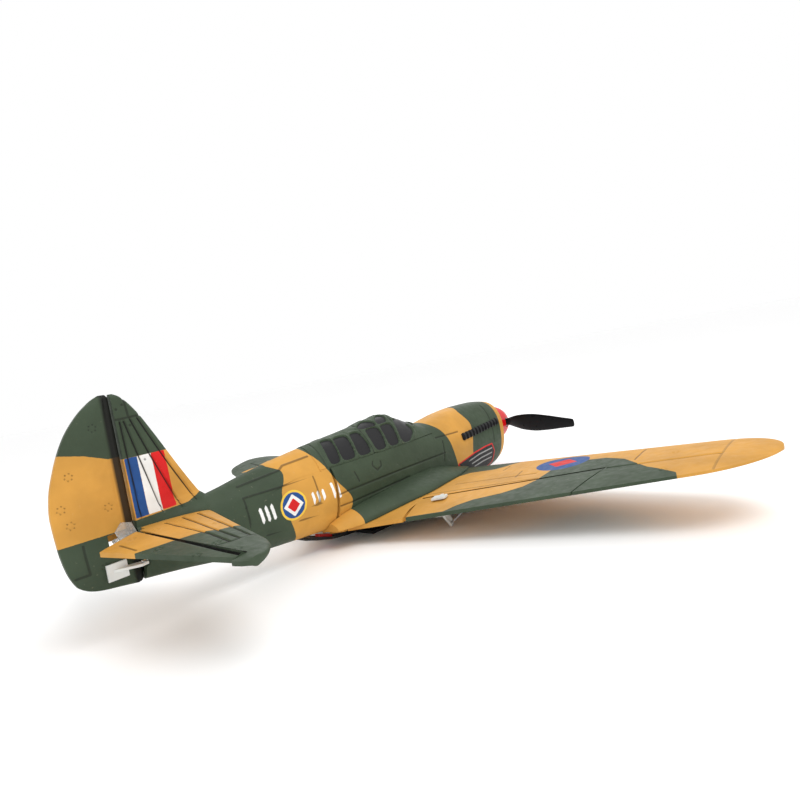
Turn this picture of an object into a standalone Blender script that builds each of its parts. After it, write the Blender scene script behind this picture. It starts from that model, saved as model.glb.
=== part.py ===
"""Small radio-controlled foam warbird: a low-wing single-engined fighter, 384 mm in span.

All shapes are worked out in a design frame in millimetres: +X starboard, +Y towards the nose,
+Z up, with Y = 0 at the spinner's base plane and Z = 0 on the propeller's axis. An empty at DATUM
carries everything to the part's own frame, whose origin is under the middle of the model, on the
surface that it rests on. Moving pieces hang from empties that sit on their joints' axes.
"""

import math

import bmesh
import bpy
from mathutils import Matrix, Vector

MM = 0.001
GAP = 0.3  # clearance between pieces that touch

# Driving dimensions, in millimetres and degrees
SPAN = 384.0
REST_Z = -32.0  # underside of the battery tray, which the model rests on
NOSE_TIP_Y = 18.5
TAIL_END_Y = -289.7
DATUM = Vector((0.0, -(NOSE_TIP_Y + TAIL_END_Y) / 2, -REST_Z))

# Wing: straight taper with dihedral and a rounded tip
WING_LE_ROOT_Y, WING_LE_SLOPE = -55.9, -0.060
WING_TE_ROOT_Y, WING_TE_SLOPE = -169.7, 0.311
WING_ROOT_Z, DIHEDRAL_SLOPE = -24.3, 0.103
WING_TIP_START_X, WING_TIP_X, WING_TIP_Y = 165.0, SPAN / 2, -88.0
WING_THINNING = 0.55  # share of the thickness lost from the root to the tip

# Aileron: hinge line, ends and clearances
AILERON_IN_X, AILERON_OUT_X = 37.2, 125.6
AILERON_HINGE_ROOT_Y, AILERON_HINGE_SLOPE = -145.4, 0.319
AILERON_IN_SLANT, AILERON_OUT_SLANT = 0.32, -0.2  # sideways shift of the end faces per mm aft
AILERON_COVE_GAP = 0.4
AILERON_END_GAP = 1.0
AILERON_HORN_X = 50.0
AILERON_ARM = 11.0

# Tailplane and elevators
TAIL_Z, TAIL_DROOP, TAIL_DROOP_X = 5.9, 1.0, 40.0
TAIL_LE_ROOT_Y, TAIL_LE_SLOPE = -230.5, -0.263
TAIL_TE_ROOT_Y, TAIL_TE_SLOPE, TAIL_TIP_TE_Y = -284.8, 0.255, -268.0
TAIL_TIP_START_X, TAIL_TIP_X, TAIL_TIP_Y = 68.0, 84.6, -263.5
ELEVATOR_AXIS = Vector((0.0, -264.5, 5.4))
ELEVATOR_IN_X, ELEVATOR_OUT_X = 6.6, 77.6
ELEVATOR_END_SKEW = 8.5
ELEVATOR_COVE_GAP = 0.8
ELEVATOR_ARM = 7.0
ELEVATOR_HORN_X = -5.6
ELEVATOR_JOINER_BEND = 4.2  # how far the joining bar bows aft, to clear the rudder's hinge wire

# Pushrods: a wire beside its arms
PUSHROD_OFFSET, PUSHROD_RADIUS = 1.1, 0.4

# Fin and rudder
RUDDER_AXIS = Vector((0.0, -264.3, 0.0))
RUDDER_NOSE_RADIUS = 2.1
RUDDER_ARM = 7.0
RUDDER_ROD_Z = -4.0
FIN_ROOT_Z = 9.4

# Propeller train
SPINNER_RADIUS = 12.4
PROPELLER_RADIUS = 62.0
PROPELLER_Y = 6.0
PROPELLER_PITCH = 70.0
SHAFT_RADIUS = 0.75
MOTOR_SHAFT_RADIUS = 0.5
GEAR_MODULE, SPUR_TEETH, PINION_TEETH = 0.4, 40, 10
GEAR_CENTRES = GEAR_MODULE * (SPUR_TEETH + PINION_TEETH) / 2
GEAR_FRONT_Y, GEAR_WIDTH = -3.4, 3.0
MOTOR_RADIUS, MOTOR_LENGTH, MOTOR_FRONT_Y = 4.25, 20.0, -11.6

# Battery bay
TRAY_HALF_WIDTH, TRAY_FLANGE = 10.6, 2.4
TRAY_FRONT_Y, TRAY_BACK_Y, TRAY_TOP_Z = -84.0, -146.0, -12.6
HATCH_HINGE_Y, HATCH_HINGE_Z = -86.2, -30.9

# Fuselage stations: y, half width, level of the greatest width, top, bottom, upper power, lower power
BODY = (
    (-1.0, 13.7, 0.0, 14.3, -15.0, 2.0, 2.0),
    (-4.0, 14.7, -0.6, 16.2, -20.5, 2.1, 2.1),
    (-10.0, 15.6, -1.6, 18.2, -25.8, 2.2, 2.3),
    (-25.0, 16.6, -3.0, 20.1, -28.6, 2.2, 2.4),
    (-45.0, 17.4, -4.0, 20.5, -29.3, 2.15, 2.5),
    (-62.0, 18.0, -4.6, 19.6, -29.3, 2.1, 2.5),
    (-75.0, 18.3, -5.0, 18.0, -29.3, 2.05, 2.5),
    (-86.6, 18.4, -5.0, 16.6, -29.2, 2.0, 2.5),
    (-93.6, 18.4, -5.0, 19.0, -29.2, 1.9, 2.5),
    (-107.0, 18.4, -5.0, 25.1, -29.0, 1.72, 2.5),
    (-117.0, 18.3, -4.6, 27.8, -28.8, 1.68, 2.5),
    (-128.0, 18.1, -4.2, 27.0, -28.0, 1.68, 2.4),
    (-143.0, 17.6, -3.4, 24.9, -26.4, 1.70, 2.3),
    (-159.0, 16.7, -2.2, 23.4, -24.4, 1.72, 2.2),
    (-175.0, 15.3, -1.2, 21.9, -22.8, 1.75, 2.1),
    (-194.0, 13.1, -0.4, 19.7, -21.4, 1.80, 2.1),
    (-204.0, 11.9, -0.2, 18.2, -20.6, 1.82, 2.1),
    (-215.0, 10.6, 0.0, 16.3, -19.3, 1.85, 2.1),
    (-224.0, 9.5, 0.0, 14.6, -17.9, 1.88, 2.1),
    (-233.0, 8.3, 0.0, 13.3, -16.3, 1.90, 2.1),
    (-246.0, 6.6, 0.0, 11.8, -14.0, 1.95, 2.1),
    (-262.0, 4.6, 0.0, 10.2, -11.8, 2.0, 2.1),
)
BODY_FRONT_Y, BODY_END_Y = BODY[0][0], BODY[-1][0]

# The hollow inside it: y, half width, top, bottom
HOLLOW = (
    (1.0, 9.9, 10.4, -11.0),
    (-8.0, 10.6, 12.0, -15.0),
    (-34.0, 12.0, 14.5, -15.6),
    (-60.0, 13.0, 14.0, -19.0),
    (-90.0, 13.3, 14.0, -22.0),
    (-112.0, 13.3, 20.0, -22.0),
    (-130.0, 13.2, 21.5, -21.5),
    (-150.0, 12.6, 19.5, -20.0),
    (-172.0, 10.9, 16.5, -17.8),
    (-200.0, 8.0, 12.0, -15.0),
    (-224.0, 4.8, 7.0, -11.5),
)

# Colours
TAN = (0.62, 0.36, 0.11)
GREEN = (0.075, 0.105, 0.065)
BLACK = (0.015, 0.015, 0.016)
RED = (0.75, 0.03, 0.02)
WHITE = (0.82, 0.82, 0.80)
CLEAR = (0.72, 0.74, 0.72)
STEEL = (0.55, 0.55, 0.56)
BRASS = (0.70, 0.50, 0.20)
CARBON = (0.03, 0.03, 0.03)
BLUE = (0.05, 0.14, 0.40)
SILVER = (0.62, 0.63, 0.65)
BOARD_GREEN = (0.02, 0.18, 0.07)


# ---------------------------------------------------------------- curves and sections


def smooth(table, column, at):
    """Monotone cubic through a table's (first column, given column) knots, flat beyond its ends."""
    knots = sorted((row[0], row[column]) for row in table)
    if at <= knots[0][0]:
        return knots[0][1]
    if at >= knots[-1][0]:
        return knots[-1][1]
    slopes = [(b[1] - a[1]) / (b[0] - a[0]) for a, b in zip(knots, knots[1:])]
    tangents = [slopes[0]]
    for before, after in zip(slopes, slopes[1:]):
        same_way = before * after > 0
        tangents.append(2 * before * after / (before + after) if same_way else 0.0)
    tangents.append(slopes[-1])
    i = next(k for k in range(len(slopes)) if at <= knots[k + 1][0])
    (x0, y0), (x1, y1) = knots[i], knots[i + 1]
    width = x1 - x0
    t = (at - x0) / width
    rise = y1 - y0
    a = tangents[i] * width - rise
    b = -tangents[i + 1] * width + rise
    return y0 + t * rise + t * (1 - t) * (a * (1 - t) + b * t)


def signed_power(value, power):
    return math.copysign(abs(value) ** power, value)


def body_point(y, angle, lift=0.0):
    """A point on the fuselage's outer surface; the angle runs from the top over starboard."""
    half_width, level, top, bottom, upper, lower = (smooth(BODY, c, y) for c in range(1, 7))
    sine, cosine = math.sin(angle), math.cos(angle)
    power = upper if cosine > 0 else lower
    height = (top - level if cosine > 0 else level - bottom) + lift
    x = (half_width + lift) * signed_power(sine, 2 / power)
    return Vector((x, y, level + height * signed_power(cosine, 2 / power)))


def body_half_width(y, z, lift=0.0):
    """Half width of the fuselage at a height."""
    half_width, level, top, bottom, upper, lower = (smooth(BODY, c, y) for c in range(1, 7))
    power = upper if z > level else lower
    height = (top - level if z > level else level - bottom) + lift
    share = min(abs(z - level) / height, 1.0)
    return (half_width + lift) * (1 - share**power) ** (1 / power)


def hollow_point(y, angle):
    half_width, top, bottom = (smooth(HOLLOW, c, y) for c in range(1, 4))
    middle, height = (top + bottom) / 2, (top - bottom) / 2
    x = half_width * signed_power(math.sin(angle), 0.9)
    return Vector((x, y, middle + height * signed_power(math.cos(angle), 0.9)))


WING_UPPER = ((0.0, 0.0), (0.015, 3.0), (0.06, 5.0), (0.12, 6.2), (0.25, 7.0), (0.4, 6.8), (0.6, 5.6),
              (0.79, 4.0), (1.0, 0.6))
WING_LOWER = ((0.0, 0.0), (0.015, 2.1), (0.06, 3.5), (0.15, 4.3), (0.3, 4.5), (0.6, 3.8), (0.79, 3.0),
              (1.0, 1.7))
UPPER_SHARES = (1.0, 0.88, 0.79, 0.6, 0.42, 0.25, 0.13, 0.06, 0.02)
LOWER_SHARES = (0.0, 0.02, 0.08, 0.2, 0.4, 0.65, 0.88, 1.0)


def tip_factor(x, start, tip, power):
    """Half chord left at x, as a share, on a wing or tail whose tip is rounded off."""
    if x <= start:
        return 1.0
    share = min((x - start) / (tip - start), 1.0)
    return math.sqrt(max(1 - share**power, 0.0))


def wing_edges(x):
    """Leading and trailing edge Y of the wing at x."""
    factor = tip_factor(x, WING_TIP_START_X, WING_TIP_X, 2.3)
    leading = WING_LE_ROOT_Y + WING_LE_SLOPE * x
    trailing = WING_TE_ROOT_Y + WING_TE_SLOPE * x
    return WING_TIP_Y + (leading - WING_TIP_Y) * factor, WING_TIP_Y + (trailing - WING_TIP_Y) * factor


def wing_scale(x):
    rounding = tip_factor(x, WING_TIP_START_X, WING_TIP_X + 0.6, 3.0)
    return (1 - WING_THINNING * x / (SPAN / 2)) * (0.25 + 0.75 * rounding)


def wing_height(x, y, side):
    """Z of the wing's upper (+1) or lower (-1) surface at x and y."""
    leading, trailing = wing_edges(x)
    share = min(max((leading - y) / (leading - trailing), 0.0), 1.0)
    table = WING_UPPER if side > 0 else WING_LOWER
    return WING_ROOT_Z + DIHEDRAL_SLOPE * x + side * smooth(table, 1, share) * wing_scale(x)


def wing_ring(x):
    leading, trailing = wing_edges(x)
    ring = []
    for shares, side in ((UPPER_SHARES, 1), (LOWER_SHARES, -1)):
        for share in shares:
            y = leading + (trailing - leading) * share
            ring.append(Vector((x, y, wing_height(x, y, side))))
    return ring


def aileron_axis_point(x):
    y = AILERON_HINGE_ROOT_Y + AILERON_HINGE_SLOPE * x
    root_z = WING_ROOT_Z + 0.45
    return Vector((x, y, root_z + DIHEDRAL_SLOPE * x))


def tail_plane_z(x):
    return TAIL_Z - TAIL_DROOP * (abs(x) - TAIL_DROOP_X) / TAIL_DROOP_X


TAIL_HALF_THICKNESS = ((0.0, 0.0), (0.03, 0.9), (0.12, 1.6), (0.35, 2.1), (0.65, 1.9), (1.0, 1.0))
TAIL_SHARES = (1.0, 0.8, 0.6, 0.35, 0.15, 0.04)


def tail_edges(x):
    factor = tip_factor(abs(x), TAIL_TIP_START_X, TAIL_TIP_X, 2.4)
    leading = TAIL_LE_ROOT_Y + TAIL_LE_SLOPE * abs(x)
    trailing = min(TAIL_TE_ROOT_Y + TAIL_TE_SLOPE * abs(x), TAIL_TIP_TE_Y)
    return TAIL_TIP_Y + (leading - TAIL_TIP_Y) * factor, TAIL_TIP_Y + (trailing - TAIL_TIP_Y) * factor


def tail_half_thickness(x, y):
    leading, trailing = tail_edges(x)
    share = min(max((leading - y) / (leading - trailing), 0.0), 1.0)
    thinning = 1 - 0.25 * abs(x) / TAIL_TIP_X
    return smooth(TAIL_HALF_THICKNESS, 1, share) * thinning


def tail_ring(x):
    leading, trailing = tail_edges(x)
    middle = tail_plane_z(x)
    upper = [(leading + (trailing - leading) * share, 1) for share in TAIL_SHARES]
    lower = [(leading + (trailing - leading) * share, -1) for share in reversed(TAIL_SHARES)]
    ring = [Vector((x, y, middle + side * tail_half_thickness(x, y))) for y, side in upper]
    ring.append(Vector((x, leading, middle)))
    ring += [Vector((x, y, middle + side * tail_half_thickness(x, y))) for y, side in lower]
    return ring


# ---------------------------------------------------------------- mesh tools


def loft(rings, closed=False):
    """Closed skin over a row of rings with equal point counts; closed joins the last to the first."""
    shape = bmesh.new()
    rows = [[shape.verts.new(point) for point in ring] for ring in rings]
    count = len(rows[0])
    pairs = list(zip(rows, rows[1:]))
    if closed:
        pairs.append((rows[-1], rows[0]))
    for near, far in pairs:
        for i in range(count):
            j = (i + 1) % count
            shape.faces.new((near[i], near[j], far[j], far[i]))
    if not closed:
        shape.faces.new(rows[0])
        shape.faces.new(reversed(rows[-1]))
    bmesh.ops.recalc_face_normals(shape, faces=shape.faces)
    return shape


def slab(outline, depth):
    """A flat outline of points, pushed along a depth vector."""
    return loft([[Vector(p) for p in outline], [Vector(p) + Vector(depth) for p in outline]])


def block(low, high):
    (x0, y0, z0), (x1, y1, z1) = low, high
    return slab(((x0, y0, z0), (x1, y0, z0), (x1, y1, z0), (x0, y1, z0)), (0, 0, z1 - z0))


def circle(centre, radius, sides, u, v, start=0.0, sweep=2 * math.pi):
    """Points round a centre in the plane of u and v; a full sweep doesn't repeat its first point."""
    full = sweep >= 2 * math.pi
    steps = sides if full else sides - 1
    angles = [start + sweep * i / steps for i in range(sides)]
    return [Vector(centre) + radius * (math.cos(a) * Vector(u) + math.sin(a) * Vector(v)) for a in angles]


AXES = {"x": ((0, 1, 0), (0, 0, 1), 0), "y": ((0, 0, 1), (1, 0, 0), 1), "z": ((1, 0, 0), (0, 1, 0), 2)}


def turned(profile, centre, axis, sides, closed=False):
    """A round body: profile is (distance along the axis, radius) pairs from the centre point."""
    u, v, index = AXES[axis]
    rings = []
    for along, radius in profile:
        middle = Vector(centre)
        middle[index] += along
        rings.append(circle(middle, radius, sides, u, v))
    return loft(rings, closed)


def rod(start, end, radius, sides=10):
    """A straight round bar between two points."""
    start, end = Vector(start), Vector(end)
    frame = (end - start).to_track_quat("Z", "Y").to_matrix()
    u, v = frame.col[0], frame.col[1]
    return loft([circle(start, radius, sides, u, v), circle(end, radius, sides, u, v)])


def bent_rod(points, radius, sides=8):
    """A round bar through several points, mitred at its bends."""
    points = [Vector(p) for p in points]
    directions = [(b - a).normalized() for a, b in zip(points, points[1:])]
    side = directions[0].orthogonal().normalized()
    rings = []
    for i, point in enumerate(points):
        before = directions[max(i - 1, 0)]
        after = directions[min(i, len(directions) - 1)]
        normal = (before + after).normalized()
        ring = circle(point, radius, sides, side, before.cross(side))
        stretch = normal.dot(before)
        rings.append([p - before * ((p - point).dot(normal) / stretch) for p in ring])
        turn = before.rotation_difference(after)
        side = turn @ side
    return loft(rings)


def capsule(near, far, near_radius, far_radius, u, v, sides=7):
    """Outline round two circles of a flat arm; u points from near to far."""
    near, far, u, v = Vector(near), Vector(far), Vector(u), Vector(v)
    half = math.pi / 2
    first = circle(near, near_radius, sides, u, v, half, math.pi)
    second = circle(far, far_radius, sides, u, v, -half, math.pi)
    return first + second


def mirrored(shape):
    """The port copy of a starboard shape."""
    other = shape.copy()
    bmesh.ops.scale(other, vec=(-1, 1, 1), verts=other.verts)
    bmesh.ops.reverse_faces(other, faces=other.faces)
    return other


# ---------------------------------------------------------------- objects


def clear_scene():
    for item in list(bpy.data.objects):
        bpy.data.objects.remove(item)


def paint(name, colour, roughness, metallic=0.0):
    material = bpy.data.materials.new(name)
    material.use_nodes = True
    shader = material.node_tree.nodes["Principled BSDF"]
    shader.inputs["Base Color"].default_value = (*colour, 1.0)
    shader.inputs["Roughness"].default_value = roughness
    shader.inputs["Metallic"].default_value = metallic
    return material


def pivot(name, design_point, parent=None):
    """An empty on a joint's axis; its place is given in the design frame."""
    empty = bpy.data.objects.new(name, None)
    bpy.context.collection.objects.link(empty)
    own = Vector(design_point) if parent else DATUM
    empty.location = own * MM
    empty.parent = parent
    empty["design_point"] = tuple(Vector(design_point) if parent else Vector((0.0, 0.0, 0.0)))
    return empty


def object_from(name, shape, parent):
    """A mesh object under a pivot, from a shape in design millimetres."""
    origin = Vector(parent["design_point"])
    bmesh.ops.transform(shape, matrix=Matrix.Translation(-origin), verts=shape.verts)
    bmesh.ops.scale(shape, vec=(MM, MM, MM), verts=shape.verts)
    mesh = bpy.data.meshes.new(name)
    shape.to_mesh(mesh)
    shape.free()
    item = bpy.data.objects.new(name, mesh)
    bpy.context.collection.objects.link(item)
    item.parent = parent
    return item


def piece(name, shape, parent, colour, roughness=0.6, metallic=0.0, cuts=(), adds=(), smooth_angle=30):
    """One named piece; adds are joined to it and cuts are taken from it by Booleans."""
    item = object_from(name, shape, parent)
    item.data.materials.append(paint(name, colour, roughness, metallic))
    item.data.shade_smooth()
    item.data.set_sharp_from_angle(angle=math.radians(smooth_angle))
    for operation, tools in (("UNION", adds), ("DIFFERENCE", cuts)):
        for number, tool_shape in enumerate(tools):
            tool = object_from(f"{name}_{operation.lower()}_{number}", tool_shape, parent)
            tool.hide_render = True
            tool.display_type = "WIRE"
            modifier = item.modifiers.new(tool.name, "BOOLEAN")
            modifier.operation = operation
            modifier.solver = "EXACT"
            modifier.object = tool
    return item


def both_sides(make):
    """Calls make with each side's name and a function that gives that side's copy of a shape."""
    make("right", lambda shape: shape)
    make("left", mirrored)


# ---------------------------------------------------------------- fuselage


def body_loft(front_y, end_y, rings=26, sides=36, lift=0.0):
    stations = [front_y + (end_y - front_y) * i / (rings - 1) for i in range(rings)]
    stations = sorted({*stations, *(row[0] for row in BODY if end_y < row[0] < front_y)}, reverse=True)
    kept = [stations[0]]
    for y in stations[1:-1]:
        if kept[-1] - y > 3.0 and y - stations[-1] > 2.0 or kept[-1] > -12:
            kept.append(y)
    kept.append(stations[-1])
    return loft([[body_point(y, 2 * math.pi * i / sides, lift) for i in range(sides)] for y in kept])


def hollow_loft(sides=20):
    return loft([[hollow_point(row[0], 2 * math.pi * i / sides) for i in range(sides)] for row in HOLLOW])


def wing_saddle():
    """What the wing and everything under it take out of the fuselage."""
    rings = []
    for x in (-40.0, -30.0, -20.0, -10.0, 0.0, 10.0, 20.0, 30.0, 40.0):
        leading, trailing = wing_edges(abs(x))
        stations = [leading + GAP + 0.3] + [leading + (trailing - leading) * s for s in
                                            (0.015, 0.06, 0.12, 0.25, 0.4, 0.6, 0.79, 1.0)]
        stations[-1] -= 1.0
        ring = [Vector((x, y, wing_height(abs(x), y, 1) + GAP)) for y in stations]
        ring.append(Vector((x, stations[-1], -45.0)))
        ring.append(Vector((x, stations[0], -45.0)))
        rings.append(ring)
    return loft(rings)


def make_fuselage(airframe):
    canopy_front, canopy_back, sill = -86.0, -176.0, 10.8
    rod_bore = 1.3

    def half(side, turn):
        far = 80.0
        cuts = [
            block((-far, -far * 5, -far), (GAP / 2, far, far)),
            hollow_loft(),
            block((-far, canopy_back - GAP / 2, sill - GAP / 2), (far, canopy_front + GAP / 2, far)),
            wing_saddle(),
            block((-far, BODY_END_Y - 5, tail_plane_z(0) - 3.2), (far, TAIL_LE_ROOT_Y + 1.2, far)),
            block((-8.3, -14.0, -24.6), (8.3, 2.0, -17.6)),
            block((-6.6, -26.0, -16.4), (6.6, 1.7, -3.5)),
            block((-TRAY_HALF_WIDTH - GAP, TRAY_BACK_Y - GAP, -40),
                  (TRAY_HALF_WIDTH + GAP, TRAY_FRONT_Y + GAP, TRAY_TOP_Z + GAP)),
        ]
        if side == "right":
            rod_z = RUDDER_ROD_Z + PUSHROD_OFFSET
            cuts.append(rod((RUDDER_ARM, -266, rod_z), (RUDDER_ARM, -190, rod_z), rod_bore))
            cuts.append(block((1.8, -266, RUDDER_ROD_Z - 2.4), (12, -260.6, RUDDER_ROD_Z + 2.4)))  # horn's swing
        else:
            rod_x, rod_z = ELEVATOR_HORN_X + PUSHROD_OFFSET, ELEVATOR_AXIS.z - ELEVATOR_ARM
            cuts.append(rod((-rod_x, -266, rod_z), (-rod_x, -190, rod_z), rod_bore))
        piece(f"fuselage_{side}", turn(body_loft(BODY_FRONT_Y, BODY_END_Y)), airframe, GREEN, 0.65,
              cuts=[turn(cut) for cut in cuts])

    both_sides(half)
    below = block((-80, -300, -80), (80, 60, sill + GAP / 2))
    canopy = body_loft(canopy_front - GAP / 2, canopy_back + GAP / 2, rings=18)
    piece("canopy", canopy, airframe, GREEN, 0.65, cuts=[below, hollow_loft()])


def curved_plate(front_y, back_y, low_angle, high_angle, steps_y, steps_a, base, thickness):
    """A plate that follows the fuselage between two heights above its surface."""
    rings = []
    for i in range(steps_y + 1):
        y = front_y + (back_y - front_y) * i / steps_y
        angles = [low_angle(y) + (high_angle(y) - low_angle(y)) * k / steps_a for k in range(steps_a + 1)]
        outer = [body_point(y, a, base + thickness) for a in angles]
        inner = [body_point(y, a, base) for a in reversed(angles)]
        rings.append(outer + inner)
    return loft(rings)


def angle_at_height(y, z):
    """The section angle at which the upper fuselage surface is at height z, starboard side."""
    level, top, upper = smooth(BODY, 2, y), smooth(BODY, 3, y), smooth(BODY, 5, y)
    share = min(max((z - level) / (top - level), 0.0), 1.0)
    return math.acos(share ** (upper / 2))


def make_glazing(airframe):
    pane = 0.5
    sill = 11.9

    def side_panes(side, turn):
        plate = curved_plate(-113.0, -172.5, lambda y: angle_at_height(y, sill),
                             lambda y: angle_at_height(y, smooth(BODY, 3, y) - 3.4), 9, 3, GAP, pane)
        piece(f"side_glazing_{side}", turn(plate), airframe, BLACK, 0.3)

    both_sides(side_panes)
    screen = curved_plate(-89.5, -111.5, lambda y: -angle_at_height(y, sill),
                          lambda y: angle_at_height(y, sill), 6, 12, GAP, pane)
    piece("windscreen", screen, airframe, BLACK, 0.3)
    roof_edge = 0.30
    roof = curved_plate(-113.0, -146.0, lambda y: -roof_edge, lambda y: roof_edge, 6, 4, GAP, pane)
    piece("roof_glazing", roof, airframe, BLACK, 0.3)


def make_exhausts(airframe):
    front_y, back_y, stubs = -26.0, -62.0, 6
    low_z, high_z = 0.6, 4.2

    def strip(side, turn):
        rings = []
        for i in range(stubs):
            pitch = (front_y - back_y) / stubs
            start = front_y - i * pitch
            for share, out in ((0.0, 1.0), (0.25, 1.1), (0.4, 2.3), (0.75, 2.6), (0.9, 1.1)):
                y = start - share * pitch
                inner = [Vector((body_half_width(y, z) + GAP, y, z)) for z in (low_z, high_z)]
                rise = (high_z - low_z) * 0.15
                outer = [Vector((body_half_width(y, z) + GAP + out, y, z))
                         for z in (high_z - rise, low_z + rise)]
                rings.append(inner + outer)
        piece(f"exhaust_{side}", turn(loft(rings)), airframe, BLACK, 0.5)

    both_sides(strip)


def make_chin_intake(airframe):
    """Grille plate at the back of the chin pocket, with three round openings."""
    plate = block((-8.0, -13.6, -24.3), (8.0, -11.6, -17.9))
    holes = [rod((x, -15, -20.9), (x, -10, -20.9), 2.1, 16) for x in (-5.0, 0.0, 5.0)]
    piece("chin_intake", plate, airframe, BLACK, 0.5, cuts=holes)


# ---------------------------------------------------------------- wing


def aileron_cove(end_gap, radius_gap):
    """The space swept for the aileron: round at its nose, open above, below and behind."""
    rings = []
    for x, slant in ((AILERON_IN_X - end_gap, AILERON_IN_SLANT), (AILERON_OUT_X + end_gap, AILERON_OUT_SLANT)):
        centre = aileron_axis_point(x)
        radius = aileron_nose_radius(x) + radius_gap
        nose = [centre + radius * Vector((0, math.cos(a), math.sin(a)))
                for a in (math.radians(d) for d in (-62, -40, -20, 0, 20, 40, 62))]
        above, below = nose[-1] + Vector((0, 0, 12)), nose[0] - Vector((0, 0, 12))
        reach = 40.0
        shift = Vector((slant * reach, -reach, 0))
        rings.append(nose + [above, above + shift, below + shift, below])
    return loft(rings)


def aileron_nose_radius(x):
    centre = aileron_axis_point(x)
    upper = wing_height(x, centre.y, 1) - centre.z
    lower = centre.z - wing_height(x, centre.y, -1)
    return min(upper, lower) - 0.1


def aileron_ring(x, slant):
    centre = aileron_axis_point(x)
    radius = aileron_nose_radius(x)
    nose = [centre + radius * Vector((0, math.cos(a), math.sin(a)))
            for a in (math.radians(d) for d in (-75, -45, -15, 15, 45, 75))]
    ring = list(nose)
    for share, side in ((0.12, 1), (0.5, 1), (1.0, 1), (1.0, -1), (0.5, -1), (0.12, -1)):
        _, trailing = wing_edges(x)
        end_x = x + slant * (centre.y - trailing)
        _, end_y = wing_edges(end_x)
        across = x + (end_x - x) * share
        y = centre.y + (end_y - centre.y) * share
        ring.append(Vector((across, y, wing_height(across, y, side))))
    return ring


def spar_line():
    """Centre line of the starboard half of the bent spar."""
    points = []
    for x in (0.0, 12.0, 118.0):
        y = WING_LE_ROOT_Y - 21.5 + 0.01 * x
        points.append(Vector((x, y, WING_ROOT_Z + 1.1 + DIHEDRAL_SLOPE * max(x, 12.0))))
    return points


def make_wing(airframe):
    sections = (GAP / 2, 12.0, 30.0, 60.0, 95.0, 128.0, 150.0, 165.0, 174.0, 181.0, 186.0, 189.5, 191.6)

    def panel(side, turn):
        line = spar_line()
        outward = (line[2] - line[1]).normalized()
        spar_bore = bent_rod([line[0] - Vector((4, 0, 0)), line[0], line[1], line[2] + outward * GAP], 1.35)
        axis = [aileron_axis_point(x) for x in (AILERON_IN_X - 4.5, AILERON_OUT_X + 4.5)]
        servo_pocket = transformed(block((-16.0, 21.5, -14.0), (3.4, 46.5, 3.9)), aileron_frame())
        tray = block((-TRAY_HALF_WIDTH - GAP, TRAY_BACK_Y - GAP, -40),
                     (TRAY_HALF_WIDTH + GAP, TRAY_FRONT_Y + GAP, 0))
        latch_room = block((-8.3, -171, -45), (8.3, TRAY_BACK_Y - 3, -27.6))
        latch_track = block((-2.6, -172, -45), (2.6, -163, -24.0))
        cuts = [aileron_cove(AILERON_END_GAP, AILERON_COVE_GAP), servo_pocket, tray, latch_room, latch_track,
                spar_bore, rod(axis[0], axis[1], 0.8)]
        piece(f"wing_{side}", turn(loft([wing_ring(x) for x in sections])), airframe, TAN, 0.65,
              cuts=[turn(cut) for cut in cuts])

    both_sides(panel)
    half = spar_line()
    port = [Vector((-p.x, p.y, p.z)) for p in reversed(half[1:])]
    piece("wing_spar", bent_rod(port + half[1:], 1.0), airframe, CARBON, 0.4)


FAIRING = (
    # y, height of its upper seam, outer edge x
    (-66.0, -15.6, 22.0),
    (-76.0, -13.4, 28.0),
    (-87.0, -10.5, 33.0),
    (-102.0, -8.4, 36.5),
    (-121.0, -8.9, 37.0),
    (-139.0, -10.7, 33.0),
    (-155.0, -12.5, 27.0),
    (-166.0, -14.7, 21.5),
    (-174.0, -18.2, 16.0),
)


def make_fairings(airframe):
    steps = 6

    def fairing(side, turn):
        rings = []
        for y, seam_z, edge_x in FAIRING:
            def floor(x):
                return max(wing_height(x, y, 1), wing_height(x, WING_TE_ROOT_Y, 1)) + GAP

            seam_x = body_half_width(y, seam_z) + GAP
            drop = seam_z - floor(edge_x) - 0.4
            outer = []
            for i in range(steps + 1):
                turn_angle = math.pi / 2 * i / steps
                x = seam_x + (edge_x - seam_x) * math.sin(turn_angle) ** 1.25
                z = floor(edge_x) + 0.4 + drop * math.cos(turn_angle) ** 0.9
                outer.append(Vector((x, y, max(z, floor(x) + 0.4))))
            inner = []
            for i in range(4):
                z = floor(seam_x) + (seam_z - floor(seam_x)) * i / 3
                inner.append((body_half_width(y, z) + GAP, z))
            outer[0].z = max(seam_z, floor(seam_x) + 0.9)
            middle = (edge_x + inner[0][0]) / 2
            base = [Vector((x, y, floor(x))) for x in (edge_x, middle)]
            rings.append(outer + base + [Vector((x, y, z)) for x, z in inner[:3]])
        piece(f"wing_fairing_{side}", turn(loft(rings)), airframe, GREEN, 0.65)

    both_sides(fairing)


# ---------------------------------------------------------------- control linkages


def frame_of(origin, x_axis, y_axis, z_axis):
    matrix = Matrix((x_axis, y_axis, z_axis)).transposed().to_4x4()
    matrix.translation = origin
    return matrix


def aileron_frame():
    """Frame of the starboard aileron's linkage: X along the hinge, Y forward, Z up."""
    hinge = (aileron_axis_point(AILERON_OUT_X) - aileron_axis_point(AILERON_IN_X)).normalized()
    forward = Vector((0, 0, 1)).cross(hinge).normalized()
    return frame_of(aileron_axis_point(AILERON_HORN_X), hinge, forward, hinge.cross(forward))


def elevator_frame():
    origin = Vector((ELEVATOR_HORN_X, ELEVATOR_AXIS.y, ELEVATOR_AXIS.z))
    return frame_of(origin, Vector((1, 0, 0)), Vector((0, 1, 0)), Vector((0, 0, 1)))


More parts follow.
